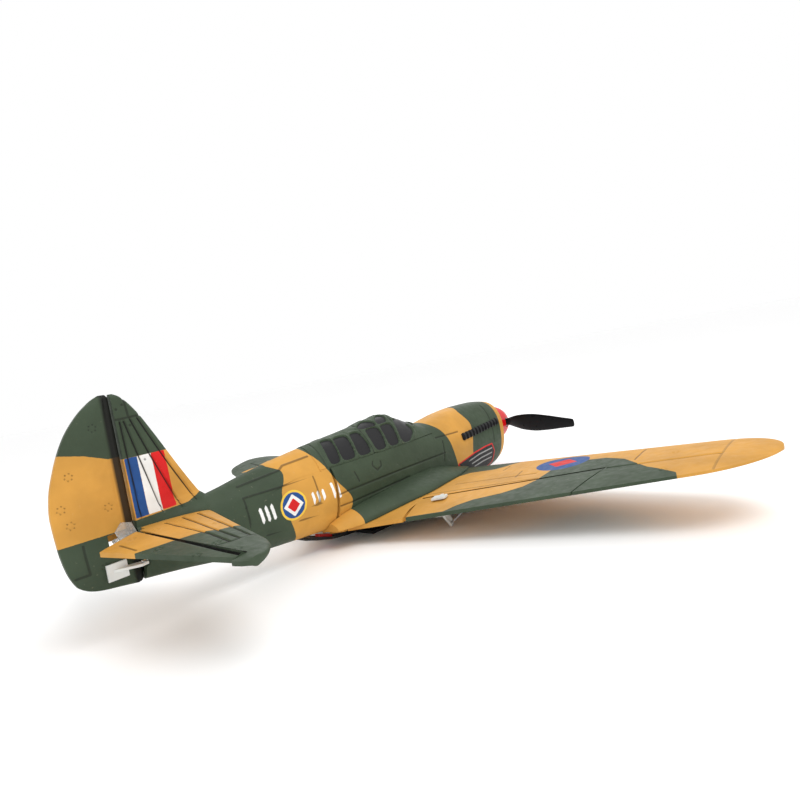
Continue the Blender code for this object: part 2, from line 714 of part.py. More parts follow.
def rudder_frame():
    """The rudder's horn points to starboard, which is this frame's -Z."""
    origin = Vector((0, RUDDER_AXIS.y, RUDDER_ROD_Z))
    return frame_of(origin, Vector((0, 0, 1)), Vector((0, 1, 0)), Vector((-1, 0, 0)))


def transformed(shape, matrix):
    bmesh.ops.transform(shape, matrix=matrix, verts=shape.verts)
    return shape


def arm_shape(length, hub_radius, matrix, thickness=1.0):
    """A flat arm from its hub at the frame's origin to its rod hole, length below."""
    outline = capsule((0, 0, 0), (0, 0, -length), hub_radius, 2.0, (0, 0, -1), (0, 1, 0))
    outline = [p - Vector((thickness / 2, 0, 0)) for p in outline]
    return transformed(slab(outline, (thickness, 0, 0)), matrix)


def rod_hole(length, matrix):
    return transformed(rod((-3, 0, -length), (3, 0, -length), 1.2, 12), matrix)


def pushrod_shape(length, reach, matrix):
    """Wire with a bent pin at each end, which sits loosely in the holes of the two arms."""
    far = PUSHROD_OFFSET
    path = [(-0.3, 0, -length), (far, 0, -length), (far, reach, -length), (-0.3, reach, -length)]
    return transformed(bent_rod(path, PUSHROD_RADIUS), matrix)


def servo_shape(matrix, reach, side, lift=0.0):
    """Micro servo: case with mounting ears, its output at the linkage frame's (0, reach)."""
    near = 1.2 * side
    case, ears = 14.0 * side, (8.0 * side, 9.4 * side)
    half_thick = 3.7
    front, back = reach + 5.0, reach - 13.0
    ear = 2.6
    outline = [(near, front), (ears[0], front), (ears[0], front + ear), (ears[1], front + ear),
               (ears[1], front), (case, front), (case, back), (ears[1], back), (ears[1], back - ear),
               (ears[0], back - ear), (ears[0], back), (near, back)]
    points = [(x, y, lift - half_thick) for x, y in outline]
    return transformed(slab(points, (0, 0, 2 * half_thick)), matrix)


def shifted(matrix, along):
    return matrix @ Matrix.Translation((0, along, 0))


# ---------------------------------------------------------------- moving surfaces


def make_ailerons(datum, airframe):
    reach = 38.0

    def surface(side, turn):
        sign = 1 if side == "right" else -1
        origin = aileron_axis_point(AILERON_HORN_X)
        hinge = pivot(f"aileron_{side}_axis", (sign * origin.x, origin.y, origin.z), datum)
        frame = aileron_frame()
        sections = (0.0, 0.33, 0.66, 1.0)
        rings = []
        for s in sections:
            x = AILERON_IN_X + (AILERON_OUT_X - AILERON_IN_X) * s
            rings.append(aileron_ring(x, AILERON_IN_SLANT + (AILERON_OUT_SLANT - AILERON_IN_SLANT) * s))
        wire_ends = [aileron_axis_point(x) for x in (AILERON_IN_X - 4, AILERON_OUT_X + 4)]
        slot = transformed(block((-0.9, -9.0, -14.0), (0.9, -1.9, 14.0)), frame)
        piece(f"aileron_{side}", turn(loft(rings)), hinge, GREEN, 0.65,
              cuts=[turn(rod(wire_ends[0], wire_ends[1], 0.9)), turn(slot)])
        piece(f"aileron_hinge_wire_{side}", turn(rod(wire_ends[0], wire_ends[1], 0.45)), airframe,
              STEEL, 0.35, 1.0)
        low = 4.4
        blade = [(-0.6, -8.5, 2.0), (-0.6, -2.2, 2.0), (-0.6, -2.2, -low + 0.2), (-0.6, 1.9, -AILERON_ARM + 1),
                 (-0.6, 1.2, -AILERON_ARM - 1.5), (-0.6, -1.2, -AILERON_ARM - 1.9),
                 (-0.6, -2.6, -AILERON_ARM), (-0.6, -8.5, -low)]
        horn = transformed(slab(blade, (1.2, 0, 0)), frame)
        foot = transformed(block((-3.6, -9.4, -low - 0.6), (3.6, -2.4, -low + 0.5)), frame)
        piece(f"aileron_horn_{side}", turn(horn), hinge, WHITE, 0.4, adds=[turn(foot)],
              cuts=[turn(rod_hole(AILERON_ARM, frame))])
        top = 3.5
        plate = [(-3.6, -9.0, top), (3.0, -9.0, top), (3.8, -7.8, top), (3.8, -4.0, top), (3.0, -2.8, top),
                 (1.0, -2.8, top), (0.6, -0.9, top), (-0.6, -0.9, top), (-1.0, -2.8, top),
                 (-3.6, -2.8, top)]
        backing = transformed(slab(plate, (0, 0, 0.9)), frame)
        piece(f"aileron_horn_plate_{side}", turn(backing), hinge, WHITE, 0.4)
        servo_frame = shifted(frame, reach)
        arm_origin = servo_frame.translation
        arm_pivot = pivot(f"aileron_servo_arm_{side}_axis",
                          (sign * arm_origin.x, arm_origin.y, arm_origin.z), datum)
        arm = arm_shape(AILERON_ARM, 2.6, servo_frame)
        piece(f"aileron_servo_arm_{side}", turn(arm), arm_pivot, WHITE, 0.4,
              cuts=[turn(rod_hole(AILERON_ARM, servo_frame))])
        piece(f"aileron_servo_{side}", turn(servo_shape(frame, reach, -1, -0.2)), airframe, BLUE, 0.35)
        piece(f"aileron_pushrod_{side}", turn(pushrod_shape(AILERON_ARM, reach, frame)), airframe,
              STEEL, 0.3, 1.0)

    both_sides(surface)


def make_tailplane(airframe):
    stations = [-84.4, -83.0, -79.5, -74.0, -68.0, -40.0, -12.0, 0.0, 12.0, 40.0, 68.0, 74.0, 79.5, 83.0, 84.4]
    reach = ELEVATOR_OUT_X + 0.6
    radius_z, radius_y = 2.6, 2.1 + ELEVATOR_COVE_GAP
    rings = []
    for x in (-reach, 0.0, reach):
        middle = Vector((x, ELEVATOR_AXIS.y, (tail_plane_z(x) + ELEVATOR_AXIS.z) / 2))
        nose = [middle + Vector((0, radius_y * math.cos(a), radius_z * math.sin(a)))
                for a in (math.radians(d) for d in (-60, -30, 0, 30, 60))]
        above, below = nose[-1] + Vector((0, 0, 9)), nose[0] - Vector((0, 0, 9))
        back = Vector((0, -40, 0))
        rings.append(nose + [above, above + back, below + back, below])
    pin_bores = [rod((s * 77.0, ELEVATOR_AXIS.y, ELEVATOR_AXIS.z), (s * 82.3, ELEVATOR_AXIS.y, ELEVATOR_AXIS.z),
                     0.7) for s in (-1, 1)]
    middle_notch = block((-6.6, -290.0, -5.0), (6.6, -260.6, 20.0))
    piece("tailplane", loft([tail_ring(x) for x in stations]), airframe, TAN, 0.65,
          cuts=[loft(rings), middle_notch, *pin_bores])

    def pin(side, turn):
        ends = [(x, ELEVATOR_AXIS.y, ELEVATOR_AXIS.z) for x in (72.5, 82.0)]
        piece(f"elevator_hinge_pin_{side}", turn(rod(*ends, 0.4)), airframe, STEEL, 0.35, 1.0)

    both_sides(pin)


def make_elevators(datum, airframe):
    hinge = pivot("elevator_axis", ELEVATOR_AXIS, datum)
    reach = 134.0

    def surface(side, turn):
        rings = []
        for x, skew in ((ELEVATOR_IN_X, ELEVATOR_END_SKEW), (24.0, 4.5), (50.0, 2.0), (ELEVATOR_OUT_X, 0.0)):
            middle_z = tail_plane_z(x)
            half = tail_half_thickness(x, ELEVATOR_AXIS.y)
            nose = [Vector((x, ELEVATOR_AXIS.y + 1.5 * math.cos(a), middle_z + half * math.sin(a)))
                    for a in (math.radians(d) for d in (-80, -40, 0, 40, 80))]
            ring = list(nose)
            for share, way in ((0.4, 1), (1.0, 1), (1.0, -1), (0.4, -1)):
                across = x + skew * share
                _, trailing = tail_edges(across)
                end = TAIL_TE_ROOT_Y + TAIL_TE_SLOPE * across
                y = ELEVATOR_AXIS.y + (end - ELEVATOR_AXIS.y) * share
                thick = half + (0.9 - half) * share
                ring.append(Vector((across, y, tail_plane_z(across) + way * thick)))
            rings.append(ring)
        bore = rod((0, ELEVATOR_AXIS.y, ELEVATOR_AXIS.z), (11.3, ELEVATOR_AXIS.y, ELEVATOR_AXIS.z), 1.4, 12)
        pin_bore = rod((71.5, ELEVATOR_AXIS.y, ELEVATOR_AXIS.z), (80, ELEVATOR_AXIS.y, ELEVATOR_AXIS.z), 0.8)
        piece(f"elevator_{side}", turn(loft(rings)), hinge, TAN, 0.65, cuts=[turn(bore), turn(pin_bore)])

    both_sides(surface)
    frame = elevator_frame()
    behind = ELEVATOR_AXIS.y - ELEVATOR_JOINER_BEND
    bar = bent_rod([(x, y, ELEVATOR_AXIS.z) for x, y in (
        (-11, ELEVATOR_AXIS.y), (-4.6, ELEVATOR_AXIS.y), (-3.4, behind), (3.4, behind),
        (4.6, ELEVATOR_AXIS.y), (11, ELEVATOR_AXIS.y))], 1.05, 12)
    horn = arm_shape(ELEVATOR_ARM, 2.4, frame, 1.0)
    tab = slab([(5.2, -262.9, 5.2), (5.2, -265.0, 12.6), (5.2, -268.6, 13.6), (5.2, -271.4, 10.6),
                (5.2, -270.6, 8.6), (5.2, -266.0, 4.4)], (0.9, 0, 0))
    piece("elevator_joiner", bar, hinge, CLEAR, 0.3, adds=[horn, tab], cuts=[rod_hole(ELEVATOR_ARM, frame)])
    servo_frame = shifted(frame, reach)
    arm_pivot = pivot("elevator_servo_arm_axis", servo_frame.translation, datum)
    piece("elevator_servo_arm", arm_shape(ELEVATOR_ARM, 2.6, servo_frame), arm_pivot, WHITE, 0.4,
          cuts=[rod_hole(ELEVATOR_ARM, servo_frame)])
    piece("elevator_servo", servo_shape(frame, reach, 1, 0.4), airframe, BLUE, 0.35,
          cuts=[transformed(block((0.0, reach - 4.0, -9.0), (3.2, reach + 40.0, -2.4)), frame)])
    piece("elevator_pushrod", pushrod_shape(ELEVATOR_ARM, reach, frame), airframe, STEEL, 0.3, 1.0)


FIN_LEADING = ((8.0, -228.6), (12.0, -230.4), (16.0, -233.0), (47.3, -248.8), (52.3, -251.4), (58.8, -255.8),
               (61.4, -258.6), (62.4, -260.6))
FIN_HALF = ((8.0, 4.6), (10.5, 3.6), (14.0, 2.6), (20.0, 2.2), (62.4, 1.5))
RUDDER_TRAILING = ((-12.0, -265.6), (-11.1, -270.5), (-9.7, -278.6), (-8.1, -282.8), (-5.5, -285.8),
                   (1.3, -288.2), (9.4, -289.3), (20.5, -289.7), (28.2, -288.7), (38.4, -285.4),
                   (48.3, -280.6), (55.8, -274.7), (60.9, -268.5), (62.4, -265.6))


def make_fin(airframe):
    back_y = RUDDER_AXIS.y + RUDDER_NOSE_RADIUS + 0.4
    rings = []
    for z in (FIN_ROOT_Z, 12.0, 16.0, 22.0, 35.0, 47.3, 52.3, 56.0, 58.8, 61.0, 62.3):
        leading = smooth(FIN_LEADING, 1, z)
        half = smooth(FIN_HALF, 1, z)
        end_half = min(half, 2.1)
        ring = [Vector((0, leading, z))]
        profile = ((0.03, 0.45, 0), (0.12, 0.8, 0), (0.35, 1.0, 0), (0.7, 0.5, 0.5), (1.0, 0.0, 1.0))
        for share, of_half, of_end in profile:
            x = half * of_half + end_half * of_end
            ring.append(Vector((x, leading + (back_y - leading) * share, z)))
        ring += [Vector((-p.x, p.y, p.z)) for p in reversed(ring[1:])]
        rings.append(ring)
    piece("fin", loft(rings), airframe, GREEN, 0.65)


def make_rudder(datum, airframe):
    hinge = pivot("rudder_axis", RUDDER_AXIS, datum)
    rings = []
    for z in (-12.0, -11.1, -9.7, -8.1, -5.5, -2.0, 4.0, 12.0, 20.5, 28.2, 38.4, 48.3, 55.8, 60.9, 62.4):
        trailing = smooth(RUDDER_TRAILING, 1, z)
        radius = RUDDER_NOSE_RADIUS if -10.5 < z < 61.5 else RUDDER_NOSE_RADIUS * 0.7
        arc = [RUDDER_AXIS + Vector((radius * math.sin(a), radius * math.cos(a), z))
               for a in (math.radians(d) for d in (0, 30, 60, 90))]
        side = arc + [Vector((radius * 0.95, RUDDER_AXIS.y + (trailing - RUDDER_AXIS.y) * 0.4, z)),
                      Vector((0.9, trailing, z))]
        rings.append(side + [Vector((-p.x, p.y, p.z)) for p in reversed(side[1:])])
    notch = block((-8, -272.0, ELEVATOR_AXIS.z - 3.4), (8, -255, ELEVATOR_AXIS.z + 3.4))
    bore = rod((0, RUDDER_AXIS.y, -13), (0, RUDDER_AXIS.y, 63.5), 0.85)
    piece("rudder", loft(rings), hinge, GREEN, 0.65, cuts=[notch, bore])
    wire = rod((0, RUDDER_AXIS.y, -11.8), (0, RUDDER_AXIS.y, 62.2), 0.4)
    piece("rudder_hinge_wire", wire, airframe, STEEL, 0.35, 1.0)
    frame = rudder_frame()
    tip = -RUDDER_ARM
    blade = [(-0.5, -10.5, -2.45), (-0.5, -4.5, -2.45), (-0.5, 0.6, tip + 2.4), (-0.5, 2.0, tip + 0.6),
             (-0.5, 1.8, tip - 1.2), (-0.5, -0.8, tip - 1.9), (-0.5, -2.4, tip - 1.0)]
    foot = block((2.4, -276.0, RUDDER_ROD_Z - 3.4), (3.3, -268.4, RUDDER_ROD_Z + 3.0))
    piece("rudder_horn", transformed(slab(blade, (1.0, 0, 0)), frame), hinge, WHITE, 0.4, adds=[foot],
          cuts=[rod_hole(RUDDER_ARM, frame)])
    reach = 108.0
    servo_frame = shifted(frame, reach)
    arm_pivot = pivot("rudder_servo_arm_axis", servo_frame.translation, datum)
    piece("rudder_servo_arm", arm_shape(RUDDER_ARM, 2.6, servo_frame), arm_pivot, WHITE, 0.4,
          cuts=[rod_hole(RUDDER_ARM, servo_frame)])
    piece("rudder_servo", servo_shape(frame, reach, 1), airframe, BLUE, 0.35)
    piece("rudder_pushrod", pushrod_shape(RUDDER_ARM, reach, frame), airframe, STEEL, 0.3, 1.0)


# ---------------------------------------------------------------- propeller and motor


def gear_shape(teeth, tip_radius, root_radius, thinning, centre, width, phase):
    """Spur gear with involute flanks, its faces across Y."""
    pressure = math.radians(20)
    pitch_radius = GEAR_MODULE * teeth / 2
    base_radius = pitch_radius * math.cos(pressure)
    involute = math.tan(pressure) - pressure
    half_tooth = math.pi / (2 * teeth) - thinning / (2 * pitch_radius)

    def flank_angle(radius):
        if radius <= base_radius:
            return half_tooth + involute
        roll = math.acos(base_radius / radius)
        return half_tooth + involute - (math.tan(roll) - roll)

    middle_radius = (max(root_radius, base_radius) + tip_radius) / 2
    radii = (root_radius, middle_radius, tip_radius)
    outline = []
    for tooth in range(teeth):
        at = phase + 2 * math.pi * tooth / teeth
        for radius in radii:
            outline.append((at - flank_angle(radius), radius))
        for radius in reversed(radii):
            outline.append((at + flank_angle(radius), radius))
    x0, y0, z0 = centre
    points = [Vector((x0 + r * math.sin(a), y0, z0 + r * math.cos(a))) for a, r in outline]
    return slab(points, (0, -width, 0))


def blade_ring(radius, chord, sign):
    """Aerofoil section of a blade that points along +X or -X, turned to its pitch."""
    twist = math.atan2(PROPELLER_PITCH, 2 * math.pi * max(radius, 11.0))
    thick = max(0.9, chord * 0.11)
    profile = ((-0.5, 0.0), (-0.38, 0.75), (-0.1, 1.0), (0.25, 0.6), (0.5, 0.1), (0.25, -0.3), (-0.2, -0.4))
    ring = []
    for along, out in profile:
        down = -along * chord * sign
        ahead = out * thick * 0.6
        y = PROPELLER_Y + ahead * math.cos(twist) - along * chord * math.sin(twist)
        z = -down * math.cos(twist) + ahead * math.sin(twist) * sign
        ring.append(Vector((sign * radius, y, z)))
    return ring


BLADE_CHORD = ((2.0, 5.0), (8.0, 6.2), (14.0, 9.2), (22.0, 12.0), (30.0, 12.4), (42.0, 10.4), (54.0, 7.4),
               (60.0, 6.0), (61.6, 5.2), (62.0, 3.8))


def make_propeller(datum):
    spin = pivot("propeller_axis", (0, 0, 0), datum)
    hub = turned(((2.2, 5.0), (9.8, 5.0)), (0, 0, 0), "y", 20)
    blades = []
    for sign in (1, -1):
        blades.append(loft([blade_ring(r, smooth(BLADE_CHORD, 1, r), sign)
                            for r in (2.0, 8.0, 14.0, 22.0, 30.0, 42.0, 54.0, 60.0, 61.6, 62.0)]))
    piece("propeller", hub, spin, BLACK, 0.35, adds=blades,
          cuts=[rod((0, -2, 0), (0, 14, 0), SHAFT_RADIUS + 0.1, 16)])
    wall = 1.1
    outer = ((0.2, 12.4), (3.5, 12.1), (7.0, 11.0), (10.5, 9.1), (13.5, 6.6), (16.0, 4.0), (17.8, 1.7), (18.5, 0.5))
    inner = ((0.0, 12.4 - wall), (3.5, 12.1 - wall), (7.0, 9.8), (10.5, 7.6), (13.0, 5.2), (14.6, 3.0))
    slots = [block((min(s * 4.0, s * 16.0), -1, -4.6), (max(s * 4.0, s * 16.0), 11.0, 4.6)) for s in (1, -1)]
    piece("spinner", turned(outer, (0, 0, 0), "y", 32), spin, RED, 0.25,
          cuts=[turned(inner, (0, -0.3, 0), "y", 24), *slots])
    piece("propeller_shaft", rod((0, -24.5, 0), (0, 9.4, 0), SHAFT_RADIUS, 16), spin, STEEL, 0.25, 1.0)
    head = turned(((10.1, 2.2), (11.6, 2.2)), (0, 0, 0), "y", 12)
    piece("propeller_screw", head, spin, STEEL, 0.3, 1.0)
    spur = gear_shape(SPUR_TEETH, 8.25, 7.42, 0.09, (0, GEAR_FRONT_Y, 0), GEAR_WIDTH, math.pi)
    piece("spur_gear", spur, spin, WHITE, 0.4, cuts=[rod((0, 2, 0), (0, -9, 0), SHAFT_RADIUS + 0.1, 16)])
    turn = pivot("motor_axis", (0, 0, -GEAR_CENTRES), datum)
    half_pitch = math.pi / PINION_TEETH
    pinion = gear_shape(PINION_TEETH, 2.4, 1.55, 0.09, (0, GEAR_FRONT_Y, -GEAR_CENTRES), GEAR_WIDTH, half_pitch)
    motor_shaft = rod((0, GEAR_FRONT_Y - 0.5, -GEAR_CENTRES), (0, MOTOR_FRONT_Y + GAP, -GEAR_CENTRES),
                      MOTOR_SHAFT_RADIUS, 12)
    piece("motor_pinion", pinion, turn, BRASS, 0.3, 1.0, adds=[motor_shaft])


def make_gearbox(airframe):
    front, back = -8.2, -10.2
    outline = capsule((0, front, 0), (0, front, -GEAR_CENTRES), 6.4, 5.8,
                      (0, 0, -1), (1, 0, 0), 9)
    plate = slab(outline, (0, back - front, 0))
    ears = block((-9.2, back, -7.0), (9.2, front, -3.0))
    shaft_tube = rod((0, back + 1, 0), (0, -23.4, 0), 3.2, 16)
    motor_tube = rod((0, back + 1, -GEAR_CENTRES), (0, -24.0, -GEAR_CENTRES), 5.5, 20)
    web = block((-1.2, -23.0, -6.0), (1.2, back + 1, -2.0))
    cuts = [rod((0, 0, 0), (0, -30, 0), 2.0, 16),
            rod((0, 0, -GEAR_CENTRES), (0, -13, -GEAR_CENTRES), 1.6, 16),
            rod((0, MOTOR_FRONT_Y + GAP, -GEAR_CENTRES), (0, -40, -GEAR_CENTRES), MOTOR_RADIUS + 0.25, 24)]
    cuts += [rod((s * 7.6, 0, -5.0), (s * 7.6, -30, -5.0), 0.9, 10) for s in (-1, 1)]
    piece("gearbox_frame", plate, airframe, WHITE, 0.45, adds=[ears, shaft_tube, motor_tube, web], cuts=cuts)
    bush = ((0, SHAFT_RADIUS + 0.06), (0, 1.7), (-15.0, 1.7), (-15.0, SHAFT_RADIUS + 0.06))
    piece("shaft_bush", turned(bush, (0, front - 0.2, 0), "y", 16, closed=True), airframe, BRASS, 0.3, 1.0)
    motor = turned(((0, 4.0), (-0.5, MOTOR_RADIUS), (-MOTOR_LENGTH + 0.5, MOTOR_RADIUS), (-MOTOR_LENGTH, 4.0)),
                   (0, MOTOR_FRONT_Y, -GEAR_CENTRES), "y", 24)
    piece("motor", motor, airframe, SILVER, 0.25, 1.0)


# ---------------------------------------------------------------- battery bay and board


def make_battery_bay(datum, airframe):
    half = TRAY_HALF_WIDTH
    wall = 1.0
    flange_out = half + TRAY_FLANGE
    lip = 1.6
    front, back = TRAY_FRONT_Y, TRAY_BACK_Y
    shell = block((-half, back, REST_Z), (half, front, TRAY_TOP_Z))
    rim = block((-flange_out, back - TRAY_FLANGE, REST_Z), (flange_out, front + TRAY_FLANGE, REST_Z + lip))
    room = block((-half + wall, back + wall, REST_Z - 5), (half - wall, front - wall, TRAY_TOP_Z - wall))
    vent = block((-4, back + 6, TRAY_TOP_Z - 3), (4, back + 14, TRAY_TOP_Z + 3))
    hinge_hole = rod((-half + 0.1, HATCH_HINGE_Y, HATCH_HINGE_Z), (half - 0.1, HATCH_HINGE_Y, HATCH_HINGE_Z), 0.8)
    piece("battery_tray", shell, airframe, BLACK, 0.45, adds=[rim], cuts=[room, vent, hinge_hole])

    hatch_axis = pivot("battery_hatch_axis", (0, HATCH_HINGE_Y, HATCH_HINGE_Z), datum)
    width = half - wall - GAP
    panel = block((-width, back + wall + GAP, REST_Z + 0.3), (width, HATCH_HINGE_Y, REST_Z + 1.5))
    knuckle = rod((-width, HATCH_HINGE_Y, HATCH_HINGE_Z), (width, HATCH_HINGE_Y, HATCH_HINGE_Z), 0.75, 12)
    pin_reach = half - 0.4
    pin = rod((-pin_reach, HATCH_HINGE_Y, HATCH_HINGE_Z), (pin_reach, HATCH_HINGE_Y, HATCH_HINGE_Z), 0.5)
    ribs = [block((-width + 1, y, REST_Z + 1.2), (width - 1, y + 1.0, REST_Z + 2.4))
            for y in (back + 12, back + 28, back + 44)]
    piece("battery_hatch", panel, hatch_axis, BLACK, 0.45, adds=[knuckle, pin, *ribs])

    slope_front, slope_back = -151.0, -186.0
    under_wing_z, wing_end_y = -27.9, -171.5
    base = []
    for y in (slope_front, -158.0, -168.0, -178.0, slope_back):
        top = under_wing_z if y > wing_end_y else smooth(BODY, 4, y) - 2 * GAP
        bottom = smooth(((slope_front, -30.2), (-168.0, -28.4), (slope_back, -23.2)), 1, y)
        top = max(min(top, bottom + 1.8), bottom + 1.0)
        base.append([Vector((-5.0, y, top)), Vector((5.0, y, top)), Vector((4.4, y, bottom)),
                     Vector((-4.4, y, bottom))])
    latch_slot = block((-2.2, -179.5, -40), (2.2, -166.0, -10))
    piece("latch_plate", loft(base), airframe, BLACK, 0.45, cuts=[latch_slot])
    near, far = Vector((-1.8, -167.0, -29.2)), Vector((-1.8, -175.0, -26.9))
    thick = Vector((0, 0, 3.0))
    latch_slide = pivot("hatch_latch_slide", (0, near.y, near.z), datum)
    piece("hatch_latch", slab([near, near + thick, far + thick, far], (3.6, 0, 0)), latch_slide, RED, 0.4)

    battery = block((-8.2, -138.0, -29.0), (8.2, -93.0, -16.4))
    item = piece("battery", battery, airframe, BLUE, 0.4)
    rounding = item.modifiers.new("rounded", "BEVEL")
    rounding.width = 1.2 * MM
    rounding.segments = 2
    board = block((-9.0, -112.0, -6.4), (9.0, -72.0, -5.2))
    chips = [block((-5.5, -90.0, -5.6), (1.5, -80.0, -4.0)), block((2.5, -108.0, -5.6), (7.5, -98.0, -4.2)),
             block((-8.0, -110.0, -5.6), (-2.0, -102.0, 0.2)), block((-8.0, -76.0, -5.6), (8.0, -72.8, -1.6))]
    piece("control_board", board, airframe, BOARD_GREEN, 0.5, adds=chips)


def main():
    clear_scene()
    datum = pivot("design_datum", (0, 0, 0))
    airframe = pivot("airframe", (0, 0, 0), datum)
    make_fuselage(airframe)
    make_glazing(airframe)
    make_exhausts(airframe)
    make_chin_intake(airframe)
    make_wing(airframe)
    make_fairings(airframe)
    make_ailerons(datum, airframe)
    make_tailplane(airframe)
    make_elevators(datum, airframe)
    make_fin(airframe)
    make_rudder(datum, airframe)
    make_propeller(datum)
    make_gearbox(airframe)
    make_battery_bay(datum, airframe)


main()
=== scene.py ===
"""Looks of the small foam warbird: fine skins with engraved seams, camouflage and generic markings.

Shapes are worked out in a design frame in millimetres (+X starboard, +Y towards the nose, +Z up, Y = 0 at
the spinner's base plane, Z = 0 on the propeller's axis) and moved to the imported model's frame by DATUM.
"""

import math

import bmesh
import bpy
import numpy as np
from mathutils import Matrix, Vector


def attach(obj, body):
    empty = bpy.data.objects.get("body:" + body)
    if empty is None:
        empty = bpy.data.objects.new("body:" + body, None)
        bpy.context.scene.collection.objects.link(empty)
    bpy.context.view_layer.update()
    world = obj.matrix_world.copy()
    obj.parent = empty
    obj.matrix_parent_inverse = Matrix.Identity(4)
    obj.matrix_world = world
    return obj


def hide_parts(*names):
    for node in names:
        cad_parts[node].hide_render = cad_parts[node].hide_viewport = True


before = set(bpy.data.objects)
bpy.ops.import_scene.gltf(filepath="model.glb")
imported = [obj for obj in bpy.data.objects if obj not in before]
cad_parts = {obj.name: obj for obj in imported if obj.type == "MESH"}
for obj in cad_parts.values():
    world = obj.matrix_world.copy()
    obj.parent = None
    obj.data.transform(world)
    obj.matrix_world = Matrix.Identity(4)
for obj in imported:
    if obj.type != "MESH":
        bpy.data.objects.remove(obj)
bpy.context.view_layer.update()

MM = 0.001
DATUM = np.array((0.0, 135.6, 32.0))

# Paint, as linear colours
TAN = (0.56, 0.280, 0.052)
GREEN = (0.042, 0.062, 0.036)
BLACK = (0.011, 0.011, 0.012)
WHITE = (0.80, 0.80, 0.78)
GREY = (0.30, 0.30, 0.29)
RED = (0.62, 0.012, 0.012)
BLUE = (0.016, 0.070, 0.24)
YELLOW = (0.80, 0.52, 0.06)

# ---------------------------------------------------------------- the airframe's surfaces

BODY = (
    # y, half width, level of the greatest width, top, bottom, upper power, lower power
    (-1.0, 13.7, 0.0, 14.3, -15.0, 2.0, 2.0),
    (-4.0, 14.7, -0.6, 16.2, -20.5, 2.1, 2.1),
    (-10.0, 15.6, -1.6, 18.2, -25.8, 2.2, 2.3),
    (-25.0, 16.6, -3.0, 20.1, -28.6, 2.2, 2.4),
    (-45.0, 17.4, -4.0, 20.5, -29.3, 2.15, 2.5),
    (-62.0, 18.0, -4.6, 19.6, -29.3, 2.1, 2.5),
    (-75.0, 18.3, -5.0, 18.0, -29.3, 2.05, 2.5),
    (-86.6, 18.4, -5.0, 16.6, -29.2, 2.0, 2.5),
    (-93.6, 18.4, -5.0, 19.0, -29.2, 1.9, 2.5),
    (-107.0, 18.4, -5.0, 25.1, -29.0, 1.72, 2.5),
    (-117.0, 18.3, -4.6, 27.8, -28.8, 1.68, 2.5),
    (-128.0, 18.1, -4.2, 27.0, -28.0, 1.68, 2.4),
    (-143.0, 17.6, -3.4, 24.9, -26.4, 1.70, 2.3),
    (-159.0, 16.7, -2.2, 23.4, -24.4, 1.72, 2.2),
    (-175.0, 15.3, -1.2, 21.9, -22.8, 1.75, 2.1),
    (-194.0, 13.1, -0.4, 19.7, -21.4, 1.80, 2.1),
    (-204.0, 11.9, -0.2, 18.2, -20.6, 1.82, 2.1),
    (-215.0, 10.6, 0.0, 16.3, -19.3, 1.85, 2.1),
    (-224.0, 9.5, 0.0, 14.6, -17.9, 1.88, 2.1),
    (-233.0, 8.3, 0.0, 13.3, -16.3, 1.90, 2.1),
    (-246.0, 6.6, 0.0, 11.8, -14.0, 1.95, 2.1),
    (-262.0, 4.6, 0.0, 10.2, -11.8, 2.0, 2.1),
)
WING_LE_ROOT_Y, WING_LE_SLOPE = -55.9, -0.060
WING_TE_ROOT_Y, WING_TE_SLOPE = -169.7, 0.311
WING_ROOT_Z, DIHEDRAL_SLOPE = -24.3, 0.103
WING_TIP_START_X, WING_TIP_X, WING_TIP_Y = 165.0, 192.0, -88.0
WING_THINNING = 0.55
AILERON_IN_X, AILERON_OUT_X = 37.2, 125.6
AILERON_HINGE_ROOT_Y, AILERON_HINGE_SLOPE = -145.4, 0.319
AILERON_IN_SLANT, AILERON_OUT_SLANT = 0.32, -0.2
AILERON_END_GAP, AILERON_COVE_GAP = 1.0, 0.4
COVE_HALF_TURN, COVE_POINTS = 62.0, 14
WING_UPPER = ((0.0, 0.0), (0.015, 3.0), (0.06, 5.0), (0.12, 6.2), (0.25, 7.0), (0.4, 6.8), (0.6, 5.6),
              (0.79, 4.0), (1.0, 0.6))
WING_LOWER = ((0.0, 0.0), (0.015, 2.1), (0.06, 3.5), (0.15, 4.3), (0.3, 4.5), (0.6, 3.8), (0.79, 3.0),
              (1.0, 1.7))
TAIL_Z, TAIL_DROOP, TAIL_DROOP_X = 5.9, 1.0, 40.0
TAIL_LE_ROOT_Y, TAIL_LE_SLOPE = -230.5, -0.263
TAIL_TE_ROOT_Y, TAIL_TE_SLOPE, TAIL_TIP_TE_Y = -284.8, 0.255, -268.0
TAIL_TIP_START_X, TAIL_TIP_X, TAIL_TIP_Y = 68.0, 84.6, -263.5
TAIL_HALF_THICKNESS = ((0.0, 0.0), (0.03, 0.9), (0.12, 1.6), (0.35, 2.1), (0.65, 1.9), (1.0, 1.0))
ELEVATOR_AXIS = (0.0, -264.5, 5.4)
ELEVATOR_IN_X, ELEVATOR_OUT_X = 6.6, 77.6
RUDDER_AXIS_Y, RUDDER_NOSE_RADIUS = -264.3, 2.1
FIN_LEADING = ((8.0, -228.6), (12.0, -230.4), (16.0, -233.0), (47.3, -248.8), (52.3, -251.4), (58.8, -255.8),
               (61.4, -258.6), (62.4, -260.6))
FIN_HALF = ((8.0, 4.6), (10.5, 3.6), (14.0, 2.6), (20.0, 2.2), (62.4, 1.5))
RUDDER_TRAILING = ((-12.0, -265.6), (-11.1, -270.5), (-9.7, -278.6), (-8.1, -282.8), (-5.5, -285.8),
                   (1.3, -288.2), (9.4, -289.3), (20.5, -289.7), (28.2, -288.7), (38.4, -285.4),
                   (48.3, -280.6), (55.8, -274.7), (60.9, -268.5), (62.4, -265.6))
